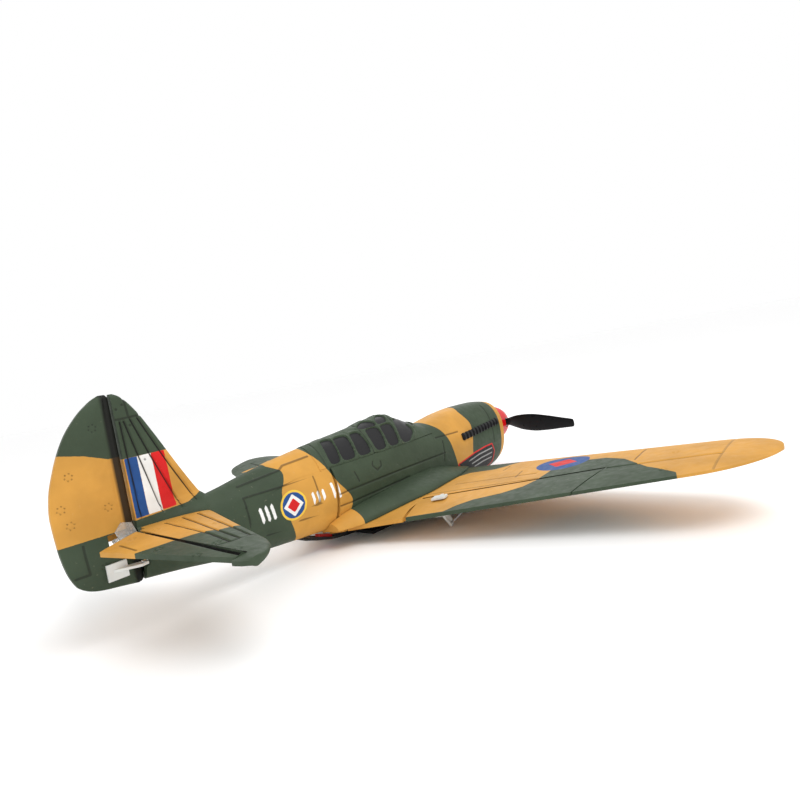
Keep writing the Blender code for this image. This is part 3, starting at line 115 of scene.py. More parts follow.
FAIRING = (
    # y, height of its upper seam, outer edge x
    (-66.0, -15.6, 22.0), (-76.0, -13.4, 28.0), (-87.0, -10.5, 33.0), (-102.0, -8.4, 36.5),
    (-121.0, -8.9, 37.0), (-139.0, -10.7, 33.0), (-155.0, -12.5, 27.0), (-166.0, -14.7, 21.5),
    (-174.0, -18.2, 16.0),
)
PROPELLER_Y, PROPELLER_PITCH = 6.0, 70.0
BLADE_CHORD = ((2.0, 5.0), (8.0, 6.2), (14.0, 9.2), (22.0, 12.0), (30.0, 12.4), (42.0, 10.4), (54.0, 7.4),
               (60.0, 6.0), (61.6, 5.2), (62.0, 3.8))

# Skins and what is cut into them
SIDES = (("right", False), ("left", True))  # the hand, and whether the starboard shape is mirrored
NOSE_FRONT, NOSE_RING_BACK, BODY_END = -7.5, -13.2, -262.0
NOSE_ROUNDING = ((0.0, -1.0), (0.08, -0.7), (0.25, -0.42), (0.6, -0.16), (1.2, 0.0))  # behind the front, lift
SKIN_DEPTH = 2.5
STERN_CUT_Y, STERN_CUT_Z = -232.5, 3.5
SADDLE_FRONT_Y, SADDLE_BACK_Y = -55.5, -170.6
CHIN_HALF_WIDTH, CHIN_LOW_Z, CHIN_HIGH_Z, CHIN_FRONT_Y = 8.3, -24.6, -17.6, -13.9
HORN_SWING_X, HORN_SWING_LOW_Z, HORN_SWING_HIGH_Z, HORN_SWING_Y = 1.8, -6.6, -1.4, -260.4
CANOPY_FRONT, CANOPY_BACK, CANOPY_SILL, CANOPY_GAP = -86.0, -176.0, 9.9, 0.15
CANOPY_LIFT = 0.25
SKIN_GAP = 0.25
ARC = 17.0  # millimetres around the canopy per radian, near enough to measure outlines in
EXHAUST_FRONT, EXHAUST_STUBS, EXHAUST_PITCH, EXHAUST_BACK = -15.5, 12, 3.85, -62.0
WING_ROOT_X = 10.95
HATCH_ROOM_X, HATCH_ROOM_Y, HATCH_ROOM_Z = 8.3, -149.0, -27.5
LATCH_ROOM_X, LATCH_ROOM_Y, LATCH_ROOM_Z = 2.6, -163.0, -23.9
WING_GAP_FRONT_Y, WING_GAP_BACK_Y = -83.7, -146.3  # the battery bay lies between
SERVO_BAY_LOW, SERVO_BAY_HIGH, SERVO_BAY_ROOF = (-16.0, 21.5), (3.4, 46.5), 3.7  # along hinge, forward; up
LINKAGE_X = 50.0
COVE_REACH, TAIL_CENTRE_BACK_Y, ELEVATOR_TIP_GAP = 3.7, -260.6, 0.6
ELEVATOR_SKEW = ((6.6, 8.5), (24.0, 4.5), (50.0, 2.0), (77.6, 0.0))  # how far its chord lines lean outwards
RUDDER_NOTCH_HALF, RUDDER_NOTCH_Y = 4.2, -273.0
FIN_TOP_Z = 62.3
FIN_ROOT = (
    # z, leading edge y, half thickness
    (6.4, -221.0, 7.2), (9.0, -222.5, 6.4), (11.0, -225.8, 4.9), (13.0, -229.4, 3.6), (16.0, -233.0, 2.5),
)
SPINNER_SKIRT_Y, SPINNER_BASE_Y, SPINNER_TIP_Y, SPINNER_RADIUS = -6.9, 0.2, 18.5, 12.4
SPINNER_OUTLINE = ((0.2, 12.4), (3.5, 12.1), (7.0, 11.0), (10.5, 9.1), (13.5, 6.6), (16.0, 4.0), (17.8, 1.7),
                   (18.5, 0.3))
PROPELLER_TURN = 4.0  # degrees off level
PROPELLER_RADIUS, TWIST_STOPS_AT = 62.0, 11.0
PROPELLER_HUB = ((2.2, 4.7), (2.4, 5.0), (9.6, 5.0), (9.8, 4.7))  # y, radius
BLADE_SECTION = (
    # share of the chord, share of the thickness; round from the leading edge over the front
    (-0.5, 0.05), (-0.47, 0.35), (-0.38, 0.75), (-0.24, 0.95), (-0.1, 1.0), (0.08, 0.86), (0.25, 0.6),
    (0.4, 0.3), (0.5, 0.08), (0.49, -0.04), (0.38, -0.18), (0.25, -0.3), (0.0, -0.38), (-0.2, -0.4),
    (-0.38, -0.32), (-0.48, -0.14),
)

# Seams, ribs and moulding vents: half widths and depths
OUTSIDE = -9.0  # a signed distance that no mark reaches
SEAM_HALF, RIB_HALF, SEAM_DEPTH, RIB_DEPTH = 0.42, 0.75, 0.3, 0.5
PANEL_LINES = (
    # y, z on the fuselage's side
    ((-218, 13), (-196, 15), (-193, 16.5), (-178, 17.5)),
    ((-228, -5.5), (-187, -6), (-163, -4), (-128, -3.3), (-82, -3.3)),
    ((-210, -12), (-198, -12), (-192, -10.7), (-161, -10.5), (-118, -8.6)),
    ((-218, 8), (-217.5, -6)), ((-181, 8), (-180.5, -4)), ((-156.5, 4), (-155, -1.3)),
    ((-81.5, 4), (-84.5, -8)), ((-218, 8), (-200, 8), (-176, 9)), ((-86, 6.8), (-64, 6.2)),
    ((-24, 17), (-24, -9)), ((-142.5, 6), (-143.5, 4), (-141, 1), (-137.5, 2.5), (-137, 5)),
)
WING_HINGE_LINE = ((36, -134), (126.5, -105), (171.5, -97))
WING_LINES = (((37, -126.5), (95, -112.5)), ((45, -112), (90, -104)), ((63.5, -92), (62, -82)),
              ((80, -108), (78, -97)), ((136, -96), (134.5, -75)), ((172, -115), (172, -70)))
WING_VENTS = ((113, -128), (117, -91), (152, -89), (153, -113))
TAIL_GROOVES = (((7.5, -253.3), (44.5, -255), (62, -257.5)), ((7.5, -246), (40.5, -251), (62, -254)),
                ((7.5, -239.3), (40.5, -245.5), (62, -250)))
TAIL_LINES = (((60, -262), (62.5, -257.5), (63, -250), (63, -240)), ((16.5, -274.5), (30, -274.5)))
TAIL_VENTS = ((61, -269), (39, -271), (14, -269), (14, -260), (12, -250), (34, -246), (58, -260), (72, -261),
              (33, -240))
FIN_RIBS = (((-260, 51), (-259.5, 12)), ((-258.5, 51), (-251, 12.5)),
            ((-256, 51.5), (-251.5, 37), (-243, 12)), ((-253, 51.5), (-247, 37), (-244, 30), (-236, 13)))
FIN_LINES = (((-261.5, 52), (-251.5, 52.5)), ((-257, 61), (-256.5, 52.5)))
FIN_VENTS = ((-260.5, 56), (-258, 57.5), (-256.5, 49), (-253.5, 34.5))
RUDDER_LINES = (((-281.5, 8.5), (-281.5, 6), (-281, -2.5), (-286, -2.5)),)
RUDDER_VENTS = ((-270.5, 50.5), (-281.5, 34.5), (-270.5, 20), (-286, 23.5), (-284, 17), (-275.5, -1.5))

# Camouflage: edges are smooth curves through (z, y) on the fuselage and (y, x) on the tail
AFT_TAN_START = ((-21, -192), (-7, -198), (3, -200), (14, -195), (18, -200))
AFT_TAN_END = ((-15, -162), (-10, -161), (3, -169), (12, -173), (21, -178))
NOSE_TAN_START = ((-20, -69), (-5, -73.5), (4, -75.5), (10, -78), (17, -84))
NOSE_TAN_END = ((-30, -53), (-10, -52.5), (0, -50), (8, -48), (17, -51), (20, -49))
TAIL_GREEN_EDGE = ((-276, 33), (-265, 37), (-255, 40), (-250, 45), (-236, 46))
WING_GREEN_ROOT = ((0, -163), (18, -163), (24, -160), (31, -143), (36, -112), (36, -96), (40, -90), (55, -87),
                   (59, -82), (63, -66), (66, -55), (66, -40), (0, -40))
WING_GREEN_OUTER = ((63, -150), (67, -143), (73, -137), (85, -131), (93, -124), (96, -116), (97, -95),
                    (108, -87), (119, -86.5), (130, -92.5), (145, -108), (159, -116.5), (165, -135),
                    (60, -165))
WING_GREEN_PORT_TIP = ((163, -50), (157, -72), (161, -88), (156, -104), (160, -126), (200, -130), (200, -50))
WING_GREEN_FRONT = 0.012  # share of the chord
FAIRING_GREEN_Y = -162.5

# Generic markings
ROUNDEL, ROUNDEL_RADIUS, ROUNDEL_RIM, ROUNDEL_WHITE, ROUNDEL_RED = (-195.0, -2.0), 7.1, 1.0, 5.4, 3.4
BAR_PITCH = 2.9
BAR_GROUPS = ((-211.5, -2.0, 4.4, 3), (-183.8, -1.8, 3.6, 3), (-172.0, -1.6, 4.4, 2))  # y, z, half, count
BARS = [(y + BAR_PITCH * k, z, half) for y, z, half, count in BAR_GROUPS for k in range(count)]
CHIN_PANEL = ((-70, -14), (-50, -11), (-37, -10), (-28, -10), (-25, -15), (-25, -23), (-34, -26), (-48, -25),
              (-60, -20))
LOUVRES = [((4 * k - 58, -14.6 - 2.6 * k), (3 * k - 45, -12.9 - 3 * k), (-28, -12.4 - 3.2 * k))
           for k in range(3)]
WING_SPOT, WING_SPOT_RADIUS, WING_SPOT_RED = (96.8, -88.0), 13.5, 7.8
FIN_GREEN_Z, STRIPE_LOW_Z = 36.5, 12.5
FIN_FOOT_GREEN = ((-262.0, 11.9), (-240.0, 13.2), (-231.0, 16.5))  # y, z
FIN_STRIPES = (("blue", -261.4, -256.4), ("white", -256.4, -250.7), ("red", -250.7, -245.1))  # back, front
RUDDER_GREEN_EDGE = ((-289.0, 44.0), (-275.2, 40.9), (-267.0, 37.8))  # y, z
RUDDER_FOOT_Z = 10.0

# Windows
WINDOW_SILL, WINDOW_TOP = 11.0, 22.0
SIDE_PANES = (
    # y at the sill's back and front, then at the top's front and back
    (-168.5, -162, -159, -165.5), (-160.5, -151.5, -149, -157.5), (-149.5, -140, -140.5, -146.5),
    (-136.5, -128.5, -126.5, -136), (-126, -118, -116, -125),
)
QUARTER_LIGHT = ((-111.5, 24), (-103, 20.5), (-101, 16), (-102.5, 14), (-108.5, 10.7), (-113.5, 10.7),
                 (-115.5, 12.5))  # y, z
SIDE_WINDOWS = [((top_back, WINDOW_TOP), (top_front, WINDOW_TOP), (front, WINDOW_SILL), (back, WINDOW_SILL))
                for back, front, top_front, top_back in SIDE_PANES] + [QUARTER_LIGHT]
ROOF_WINDOWS = (
    # y, x
    ((-139, 4.5), (-132, 1.5), (-126, 5.5), (-127, 7), (-136.5, 6)),
    ((-124, 5), (-119.5, 1.5), (-115.5, 3.5), (-117.5, 7), (-124.5, 7)),
)
SCREEN_HALF = ((-110.5, 4.7), (-103, 7), (-98, 9), (-94, 5.6))
FRONT_WINDOW = [(-110.5, -4.7), *SCREEN_HALF, *((y, -x) for y, x in SCREEN_HALF[:0:-1])]
PANE_LIFTS = ((0.02, -1.6), (1.0, -1.6), (1.0, -0.45), (0.985, -0.30), (0.9, -0.26), (0.7, -0.26),
              (0.5, -0.26), (0.3, -0.26), (0.02, -0.26))  # share of the pane's outline, height

# Studio
CAMERA_AZIMUTH, CAMERA_ELEVATION, CAMERA_ROLL = 41.98, 3.44, -9.93
CAMERA_PLACE, CAMERA_LENS = (0.22960, -0.21432, 0.08578), 25.23
LIGHTS = (
    # name, place, target, size, power
    ("key", (0.55, -0.10, 0.80), (0.0, 0.0, 0.03), 0.45, 3.2),
    ("fill", (-0.3, -0.9, 0.5), (0.0, 0.0, 0.03), 0.8, 0.5),
    ("back", (-0.5, 0.6, 0.6), (0.0, 0.0, 0.05), 0.6, 1.6),
)
FLOOR_HALF, FLOOR_Z = 60.0, -0.0004


def column_of(table, column=1):
    """One column of a table against its first, for np.interp."""
    return [row[0] for row in table], [row[column] for row in table]


def smooth(table, column, at):
    """Monotone cubic through a table's (first column, given column) knots, flat beyond its ends."""
    knots = np.array(sorted((row[0], row[column]) for row in table))
    x, y = knots[:, 0], knots[:, 1]
    width = np.diff(x)
    slopes = np.diff(y) / width
    product, total = slopes[:-1] * slopes[1:], slopes[:-1] + slopes[1:]
    same_way = product > 0
    inner = np.where(same_way, 2 * product / np.where(same_way, total, 1.0), 0.0)
    tangents = np.concatenate([slopes[:1], inner, slopes[-1:]])
    at = np.clip(np.asarray(at, float), x[0], x[-1])
    i = np.clip(np.searchsorted(x, at) - 1, 0, len(width) - 1)
    t = (at - x[i]) / width[i]
    rise = y[i + 1] - y[i]
    a = tangents[i] * width[i] - rise
    b = -tangents[i + 1] * width[i] + rise
    return y[i] + t * rise + t * (1 - t) * (a * (1 - t) + b * t)


def signed_power(value, power):
    return np.sign(value) * np.abs(value) ** power


def body_point(y, angle, lift=0.0):
    """Points on the fuselage's outer surface; the angle runs from the top over starboard."""
    half_width, level, top, bottom, upper, lower = (smooth(BODY, c, y) for c in range(1, 7))
    sine, cosine = np.sin(angle), np.cos(angle)
    power = np.where(cosine > 0, upper, lower)
    height = np.where(cosine > 0, top - level, level - bottom) + lift
    x = (half_width + lift) * signed_power(sine, 2 / power)
    z = level + height * signed_power(cosine, 2 / power)
    return np.stack([x, y + 0 * x, z], -1)


def body_half_width(y, z, lift=0.0):
    """Half width of the fuselage at a height."""
    half_width, level, top, bottom, upper, lower = (smooth(BODY, c, y) for c in range(1, 7))
    power = np.where(z > level, upper, lower)
    height = np.where(z > level, top - level, level - bottom) + lift
    share = np.minimum(np.abs(z - level) / height, 1.0)
    return (half_width + lift) * (1 - share**power) ** (1 / power)


def angle_at_height(y, z):
    """The section angle at which the upper fuselage surface is at height z, starboard side."""
    level, top, upper = (smooth(BODY, c, y) for c in (2, 3, 5))
    share = np.clip((z - level) / (top - level), 0.0, 1.0)
    return np.arccos(share ** (upper / 2))


def tip_factor(x, start, tip, power):
    share = np.clip((x - start) / (tip - start), 0.0, 1.0)
    return np.sqrt(np.maximum(1 - share**power, 0.0))


def wing_edges(x):
    factor = tip_factor(x, WING_TIP_START_X, WING_TIP_X, 2.3)
    leading = WING_LE_ROOT_Y + WING_LE_SLOPE * x
    trailing = WING_TE_ROOT_Y + WING_TE_SLOPE * x
    return WING_TIP_Y + (leading - WING_TIP_Y) * factor, WING_TIP_Y + (trailing - WING_TIP_Y) * factor


def wing_scale(x):
    rounding = tip_factor(x, WING_TIP_START_X, WING_TIP_X + 0.6, 3.0)
    return (1 - WING_THINNING * x / WING_TIP_X) * (0.25 + 0.75 * rounding)


def wing_share(x, y):
    leading, trailing = wing_edges(x)
    return np.clip((leading - y) / (leading - trailing), 0.0, 1.0)


def wing_height(x, y, side):
    """Z of the wing's upper (+1) or lower (-1) surface at x and y."""
    share = wing_share(x, y)
    table = WING_UPPER if side > 0 else WING_LOWER
    return WING_ROOT_Z + DIHEDRAL_SLOPE * x + side * smooth(table, 1, share) * wing_scale(x)


def aileron_hinge(x):
    """Y and Z of the aileron's hinge axis at x."""
    return AILERON_HINGE_ROOT_Y + AILERON_HINGE_SLOPE * x, WING_ROOT_Z + 0.45 + DIHEDRAL_SLOPE * x


def aileron_nose_radius(x):
    y, z = aileron_hinge(x)
    return np.minimum(wing_height(x, y, 1) - z, z - wing_height(x, y, -1)) - 0.1


def tail_plane_z(x):
    return TAIL_Z - TAIL_DROOP * (np.abs(x) - TAIL_DROOP_X) / TAIL_DROOP_X


def tail_edges(x):
    factor = tip_factor(np.abs(x), TAIL_TIP_START_X, TAIL_TIP_X, 2.4)
    leading = TAIL_LE_ROOT_Y + TAIL_LE_SLOPE * np.abs(x)
    trailing = np.minimum(TAIL_TE_ROOT_Y + TAIL_TE_SLOPE * np.abs(x), TAIL_TIP_TE_Y)
    return TAIL_TIP_Y + (leading - TAIL_TIP_Y) * factor, TAIL_TIP_Y + (trailing - TAIL_TIP_Y) * factor


def tail_half_thickness(x, y):
    leading, trailing = tail_edges(x)
    share = np.clip((leading - y) / (leading - trailing), 0.0, 1.0)
    return smooth(TAIL_HALF_THICKNESS, 1, share) * (1 - 0.25 * np.abs(x) / TAIL_TIP_X)


# ---------------------------------------------------------------- distances that the paint and seams follow


def segment_distances(points, a, b):
    """Distance of every point (..., 2) to the segment from a to b."""
    a, b = np.array(a, float), np.array(b, float)
    along = b - a
    t = np.clip(((points - a) @ along) / max(along @ along, 1e-9), 0.0, 1.0)
    return np.linalg.norm(points - (a + t[..., None] * along), axis=-1)


def path_distance(points, path):
    return np.min([segment_distances(points, a, b) for a, b in zip(path, path[1:])], axis=0)


def inside(points, outline):
    """Signed distance to a closed outline, positive inside."""
    closed = [*outline, outline[0]]
    distance = path_distance(points, closed)
    crossed = np.zeros(points.shape[:-1], bool)
    px, py = points[..., 0], points[..., 1]
    for (ax, ay), (bx, by) in zip(closed, closed[1:]):
        if ay == by:
            continue
        spans = (ay > py) != (by > py)
        crossed ^= spans & (px < ax + (py - ay) * (bx - ax) / (by - ay))
    return np.where(crossed, distance, -distance)


def any_inside(points, outlines):
    return np.max([inside(points, outline) for outline in outlines], axis=0)


def seams(points, paths, half_width):
    """Signed distance to the edge of a set of thin seams, positive inside one."""
    if not paths:
        return np.full(points.shape[:-1], OUTSIDE)
    return half_width - np.min([path_distance(points, path) for path in paths], axis=0)


def pimples(points, centres, radius=0.42, spacing=1.35):
    """Rings of small dents, as moulded foam shows at its steam vents; positive inside a dent."""
    found = np.full(points.shape[:-1], OUTSIDE)
    for cx, cy in centres:
        for k in range(6):
            turn = math.radians(60 * k + 15)
            spot = np.array((cx + spacing * math.cos(turn), cy + spacing * math.sin(turn)))
            found = np.maximum(found, radius - np.linalg.norm(points - spot, axis=-1))
    return found


def ramp(value, low, high):
    t = np.clip((value - low) / (high - low), 0.0, 1.0)
    return t * t * (3 - 2 * t)


# ---------------------------------------------------------------- meshes


def resample(path, count):
    """The same path with evenly spaced points."""
    steps = np.linalg.norm(np.diff(path, axis=0), axis=1)
    travelled = np.concatenate([[0.0], np.cumsum(steps)])
    at = np.linspace(0.0, travelled[-1], count)
    return np.stack([np.interp(at, travelled, path[:, k]) for k in range(3)], -1)


def grid_normals(rings):
    """Unit normals of a grid of rings, pointing away from each ring's middle."""
    along = np.gradient(rings, axis=0)
    wrapped = np.concatenate([rings[:, -1:], rings, rings[:, :1]], axis=1)
    around = wrapped[:, 2:] - wrapped[:, :-2]
    normals = np.cross(along, around)
    normals /= np.maximum(np.linalg.norm(normals, axis=-1, keepdims=True), 1e-9)
    outward = rings - rings.mean(axis=1, keepdims=True)
    side = np.sign(np.sum(normals * outward))
    return normals * side


def carve(rings, depth):
    return rings - grid_normals(rings) * depth[..., None]


def mesh_object(name, points, faces, material, fields=None, sharp=40.0):
    mesh = bpy.data.meshes.new(name)
    world = (np.asarray(points, float) + DATUM) * MM
    mesh.from_pydata(world.tolist(), [], faces)
    mesh.validate()
    shape = bmesh.new()
    shape.from_mesh(mesh)
    if shape.calc_volume(signed=True) < 0:
        bmesh.ops.reverse_faces(shape, faces=shape.faces)
    shape.to_mesh(mesh)
    shape.free()
    for key, values in (fields or {}).items():
        layer = mesh.attributes.new(key, "FLOAT", "POINT")
        layer.data.foreach_set("value", np.clip(np.ravel(values), OUTSIDE, -OUTSIDE).astype(np.float32))
    mesh.shade_smooth()
    mesh.set_sharp_from_angle(angle=math.radians(sharp))
    mesh.materials.append(material)
    item = bpy.data.objects.new(name, mesh)
    bpy.context.collection.objects.link(item)
    return item


def ring_faces(count, size):
    faces = []
    for r in range(count - 1):
        base, after = r * size, (r + 1) * size
        faces += [(base + c, base + (c + 1) % size, after + (c + 1) % size, after + c) for c in range(size)]
    faces.append(tuple(reversed(range(size))))
    faces.append(tuple((count - 1) * size + c for c in range(size)))
    return faces


def skin(name, rings, material, fields=None, sharp=40.0, mirror=False):
    """A closed body over a grid of rings (rings, points, 3)."""
    rings = np.array(rings, float)
    if mirror:
        rings = rings * np.array((-1.0, 1.0, 1.0))
    count, size = rings.shape[:2]
    return mesh_object(name, rings.reshape(-1, 3), ring_faces(count, size), material, fields, sharp)


def joined(name, shapes, material, sharp=40.0):
    """One object from several closed shapes of (points, faces)."""
    points, faces = [], []
    for own_points, own_faces in shapes:
        base = len(points)
        points += [tuple(p) for p in own_points]
        faces += [tuple(base + i for i in face) for face in own_faces]
    return mesh_object(name, points, faces, material, None, sharp)


def points_at(x, y, z):
    """Points from coordinates of which some may be single numbers."""
    return np.stack(np.broadcast_arrays(x, y, z), -1).astype(float)


def shell(rings):
    """Points and faces of a closed loft, for joined()."""
    rings = np.array(rings, float)
    return rings.reshape(-1, 3), ring_faces(*rings.shape[:2])


def placed(item, body, slot, *nodes):
    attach(item, body)
    if nodes:
        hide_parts(*nodes)
    return item


# ---------------------------------------------------------------- materials


class Nodes:
    """Small helper to wire a material's nodes."""

    def __init__(self, name):
        self.material = bpy.data.materials.new(name)
        self.material.use_nodes = True
        self.tree = self.material.node_tree
        self.shader = self.tree.nodes["Principled BSDF"]
        self.where = self.tree.nodes.new("ShaderNodeTexCoord").outputs["Object"]

    def link(self, value, socket):
        if isinstance(value, bpy.types.NodeSocket):
            self.tree.links.new(value, socket)
        elif isinstance(value, tuple) and len(value) == 3:
            socket.default_value = (*value, 1.0)
        else:
            socket.default_value = value

    def noise(self, scale, detail=3.0, rough=0.5):
        node = self.tree.nodes.new("ShaderNodeTexNoise")
        self.tree.links.new(self.where, node.inputs["Vector"])
        node.inputs["Scale"].default_value = scale
        node.inputs["Detail"].default_value = detail
        node.inputs["Roughness"].default_value = rough
        return node.outputs["Fac"]

    def beads(self, scale, feature="SMOOTH_F1"):
        node = self.tree.nodes.new("ShaderNodeTexVoronoi")
        node.feature = feature
        self.tree.links.new(self.where, node.inputs["Vector"])
        node.inputs["Scale"].default_value = scale
        return node.outputs["Distance"]

    def field(self, name):
        node = self.tree.nodes.new("ShaderNodeAttribute")
        node.attribute_name = name
        return node.outputs["Fac"]

    def fit(self, value, low, high, to_low=0.0, to_high=1.0):
        node = self.tree.nodes.new("ShaderNodeMapRange")
        self.link(value, node.inputs["Value"])
        for key, number in (("From Min", low), ("From Max", high), ("To Min", to_low), ("To Max", to_high)):
            node.inputs[key].default_value = number
        return node.outputs["Result"]

    def maths(self, operation, a, b=0.0):
        node = self.tree.nodes.new("ShaderNodeMath")
        node.operation = operation
        self.link(a, node.inputs[0])
        self.link(b, node.inputs[1])
        return node.outputs["Value"]

    def mix(self, factor, a, b, blend="MIX"):
        node = self.tree.nodes.new("ShaderNodeMix")
        node.data_type = "RGBA"
        node.blend_type = blend
        self.link(factor, node.inputs["Factor"])
        self.link(a, node.inputs["A"])
        self.link(b, node.inputs["B"])
        return node.outputs["Result"]

    def bump(self, height, strength, distance, normal=None):
        node = self.tree.nodes.new("ShaderNodeBump")
        self.link(height, node.inputs["Height"])
        node.inputs["Strength"].default_value = strength
        node.inputs["Distance"].default_value = distance
        if normal is not None:
            self.tree.links.new(normal, node.inputs["Normal"])
        return node.outputs["Normal"]

    def done(self, colour, rough, normal=None, metallic=0.0, **more):
        self.link(colour, self.shader.inputs["Base Color"])
        self.link(rough, self.shader.inputs["Roughness"])
        self.shader.inputs["Metallic"].default_value = metallic
        for key, value in more.items():
            self.shader.inputs[key.replace("_", " ")].default_value = value
        if normal is not None:
            self.tree.links.new(normal, self.shader.inputs["Normal"])
        return self.material


def varied(nodes, colour, amount=0.10, scale=60.0):
    """The colour, drifting a little lighter and darker over the surface."""
    dark = tuple(c * (1 - amount) for c in colour)
    light = tuple(min(c * (1 + amount), 1.0) for c in colour)
    return nodes.mix(nodes.fit(nodes.noise(scale), 0.35, 0.65), dark, light)


def foam(name, layers=(), base=TAN):
    """Painted bead foam: the layers are (field, colour), laid over the base colour in order; painted shade
    then darkens the seams, grooves and gaps.
    """
    n = Nodes(name)
    wobble = n.fit(n.noise(900.0, 2.0), 0.0, 1.0, -0.16, 0.16)
    colour = varied(n, base)
    for key, paint in layers:
        edge = n.fit(n.maths("ADD", n.field(key), wobble), -0.07, 0.07)
        colour = n.mix(edge, colour, varied(n, paint))
    worn = n.fit(n.noise(420.0, 4.0, 0.7), 0.66, 0.74, 0.0, 0.16)
    colour = n.mix(worn, colour, (0.62, 0.55, 0.40))
    # painted shade: the engraved seams and vent dents are darkened towards black
    seam = n.fit(n.field("seam"), -0.16, 0.10, 0.0, 0.60)
    colour = n.mix(seam, colour, (0.010, 0.011, 0.008))
    # painted shade in rib grooves and in the gaps by moving surfaces, and the canopy windows' own black
    deep = n.fit(n.field("deep"), -0.05, 0.16, 0.0, 0.95)
    colour = n.mix(deep, colour, (0.006, 0.006, 0.005))
    bead = n.beads(430.0)
    normal = n.bump(bead, 0.32, 0.0004)
    normal = n.bump(n.noise(2600.0, 3.0), 0.20, 0.00012, normal)
    rough = n.fit(n.noise(300.0), 0.3, 0.7, 0.46, 0.62)
    return n.done(colour, rough, normal, Specular_IOR_Level=0.22)


def hard(name, colour, rough=0.4, metallic=0.0, amount=0.08, bump=0.06, grain=1400.0, **more):
    """Moulded plastic, metal or film: slight drift of colour and roughness, and a fine grain."""
    n = Nodes(name)
    normal = n.bump(n.noise(grain, 3.0), bump, 0.0001)
    spread = n.fit(n.noise(240.0, 3.0), 0.3, 0.7, rough * 0.85, rough * 1.18)
    return n.done(varied(n, colour, amount, 120.0), spread, normal, metallic, **more)


def carbon_rod(name):
    n = Nodes(name)
    weave = n.tree.nodes.new("ShaderNodeTexWave")
    n.tree.links.new(n.where, weave.inputs["Vector"])
    weave.inputs["Scale"].default_value = 900.0
    weave.inputs["Distortion"].default_value = 2.0
    colour = n.mix(weave.outputs["Fac"], (0.012, 0.012, 0.013), (0.035, 0.035, 0.037))
    return n.done(colour, 0.32, n.bump(weave.outputs["Fac"], 0.1, 0.0001))


def board(name):
    """Solder mask over tracks."""
    n = Nodes(name)
    cells = n.beads(260.0, "DISTANCE_TO_EDGE")
    tracks = n.fit(cells, 0.02, 0.05)
    colour = n.mix(tracks, (0.05, 0.22, 0.09), varied(n, (0.012, 0.11, 0.04)))
    return n.done(colour, n.fit(n.noise(400.0), 0.3, 0.7, 0.28, 0.42), n.bump(tracks, 0.15, 0.0001))


PAINTED = (("green", GREEN),)
FUSELAGE_PAINT = (("green", GREEN), ("panel_rim", RED), ("panel", BLACK), ("louvres", GREY), ("rim", YELLOW),
                  ("disc", BLUE), ("white", WHITE), ("red", RED), ("bars", WHITE))
WING_PAINT = (("green", GREEN), ("disc", BLUE), ("white", WHITE), ("red", RED))
FIN_PAINT = (("green", GREEN), ("blue", BLUE), ("white", WHITE), ("red", RED))

foam_body = foam("foam_fuselage", FUSELAGE_PAINT)
foam_plain = foam("foam_camouflage", PAINTED)
foam_wing = foam("foam_wing", WING_PAINT)
foam_fin = foam("foam_fin", FIN_PAINT)
gloss_black = hard("black_nylon", (0.008, 0.008, 0.009), 0.30, bump=0.03, Specular_IOR_Level=0.16)
pane_black = hard("black_film", (0.009, 0.009, 0.010), 0.34, bump=0.2, grain=700.0, Specular_IOR_Level=0.3)
soft_black = hard("black_plastic", (0.009, 0.009, 0.010), 0.46, bump=0.12, Specular_IOR_Level=0.2)
latch_red = hard("red_latch", (0.55, 0.012, 0.012), 0.35)
nylon = hard("white_nylon", (0.72, 0.72, 0.69), 0.38, bump=0.05, Subsurface_Weight=0.05)
clear = hard("clear_moulding", (0.86, 0.88, 0.87), 0.14, bump=0.02, Transmission_Weight=0.75, IOR=1.49)
steel = hard("steel_wire", (0.56, 0.56, 0.57), 0.26, 1.0, bump=0.08, grain=3000.0)
brass = hard("brass", (0.62, 0.42, 0.14), 0.28, 1.0)
can = hard("motor_can", (0.60, 0.61, 0.63), 0.22, 1.0)
servo_blue = hard("servo_case", (0.020, 0.075, 0.32), 0.30)
wrap = hard("battery_wrap", (0.03, 0.07, 0.24), 0.34, bump=0.3, grain=250.0)
carbon = carbon_rod("carbon_rod")
circuit = board("circuit_board")
CARRIED = {
    "chin_intake": soft_black, "battery_tray": soft_black, "battery_hatch": soft_black,
    "latch_plate": soft_black, "hatch_latch": latch_red, "wing_spar": carbon, "elevator_joiner": clear,
    "elevator_servo": servo_blue, "rudder_servo": servo_blue, "rudder_horn": nylon,
    "elevator_servo_arm": nylon, "rudder_servo_arm": nylon, "spur_gear": nylon, "gearbox_frame": nylon,
    "motor_pinion": brass, "shaft_bush": brass, "motor": can, "battery": wrap, "control_board": circuit,
    "propeller_shaft": steel, "propeller_screw": steel, "rudder_hinge_wire": steel,
    "elevator_pushrod": steel, "rudder_pushrod": steel,
}
for hand, _ in SIDES:
    CARRIED |= {f"aileron_horn_{hand}": nylon, f"aileron_horn_plate_{hand}": nylon,
                f"aileron_servo_arm_{hand}": nylon, f"aileron_servo_{hand}": servo_blue,
                f"aileron_hinge_wire_{hand}": steel, f"elevator_hinge_pin_{hand}": steel,
                f"aileron_pushrod_{hand}": steel}


def dress_carried_nodes():
    """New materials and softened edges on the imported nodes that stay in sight."""
    for name, material in CARRIED.items():
        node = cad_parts[name]
        node.data.materials.clear()
        node.data.materials.append(material)
        if material is steel or name in ("spur_gear", "motor_pinion", "battery"):
            continue
        rounding = node.modifiers.new("softened edges", "BEVEL")
        rounding.width = 0.15 * MM
        rounding.segments = 2
        rounding.limit_method = "ANGLE"
        rounding.angle_limit = math.radians(35)


# ---------------------------------------------------------------- fuselage and canopy

def spread(values, first, last, step, jumps=()):
    """Sorted stations at an even step, with the jumps added."""
    count = max(int(round(abs(last - first) / step)), 1)
    stations = np.concatenate([np.linspace(first, last, count + 1), np.array(values, float), np.ravel(jumps)])
    return np.unique(np.round(stations, 4))


def jump(at, gap=0.02):
    return (at - gap, at + gap)


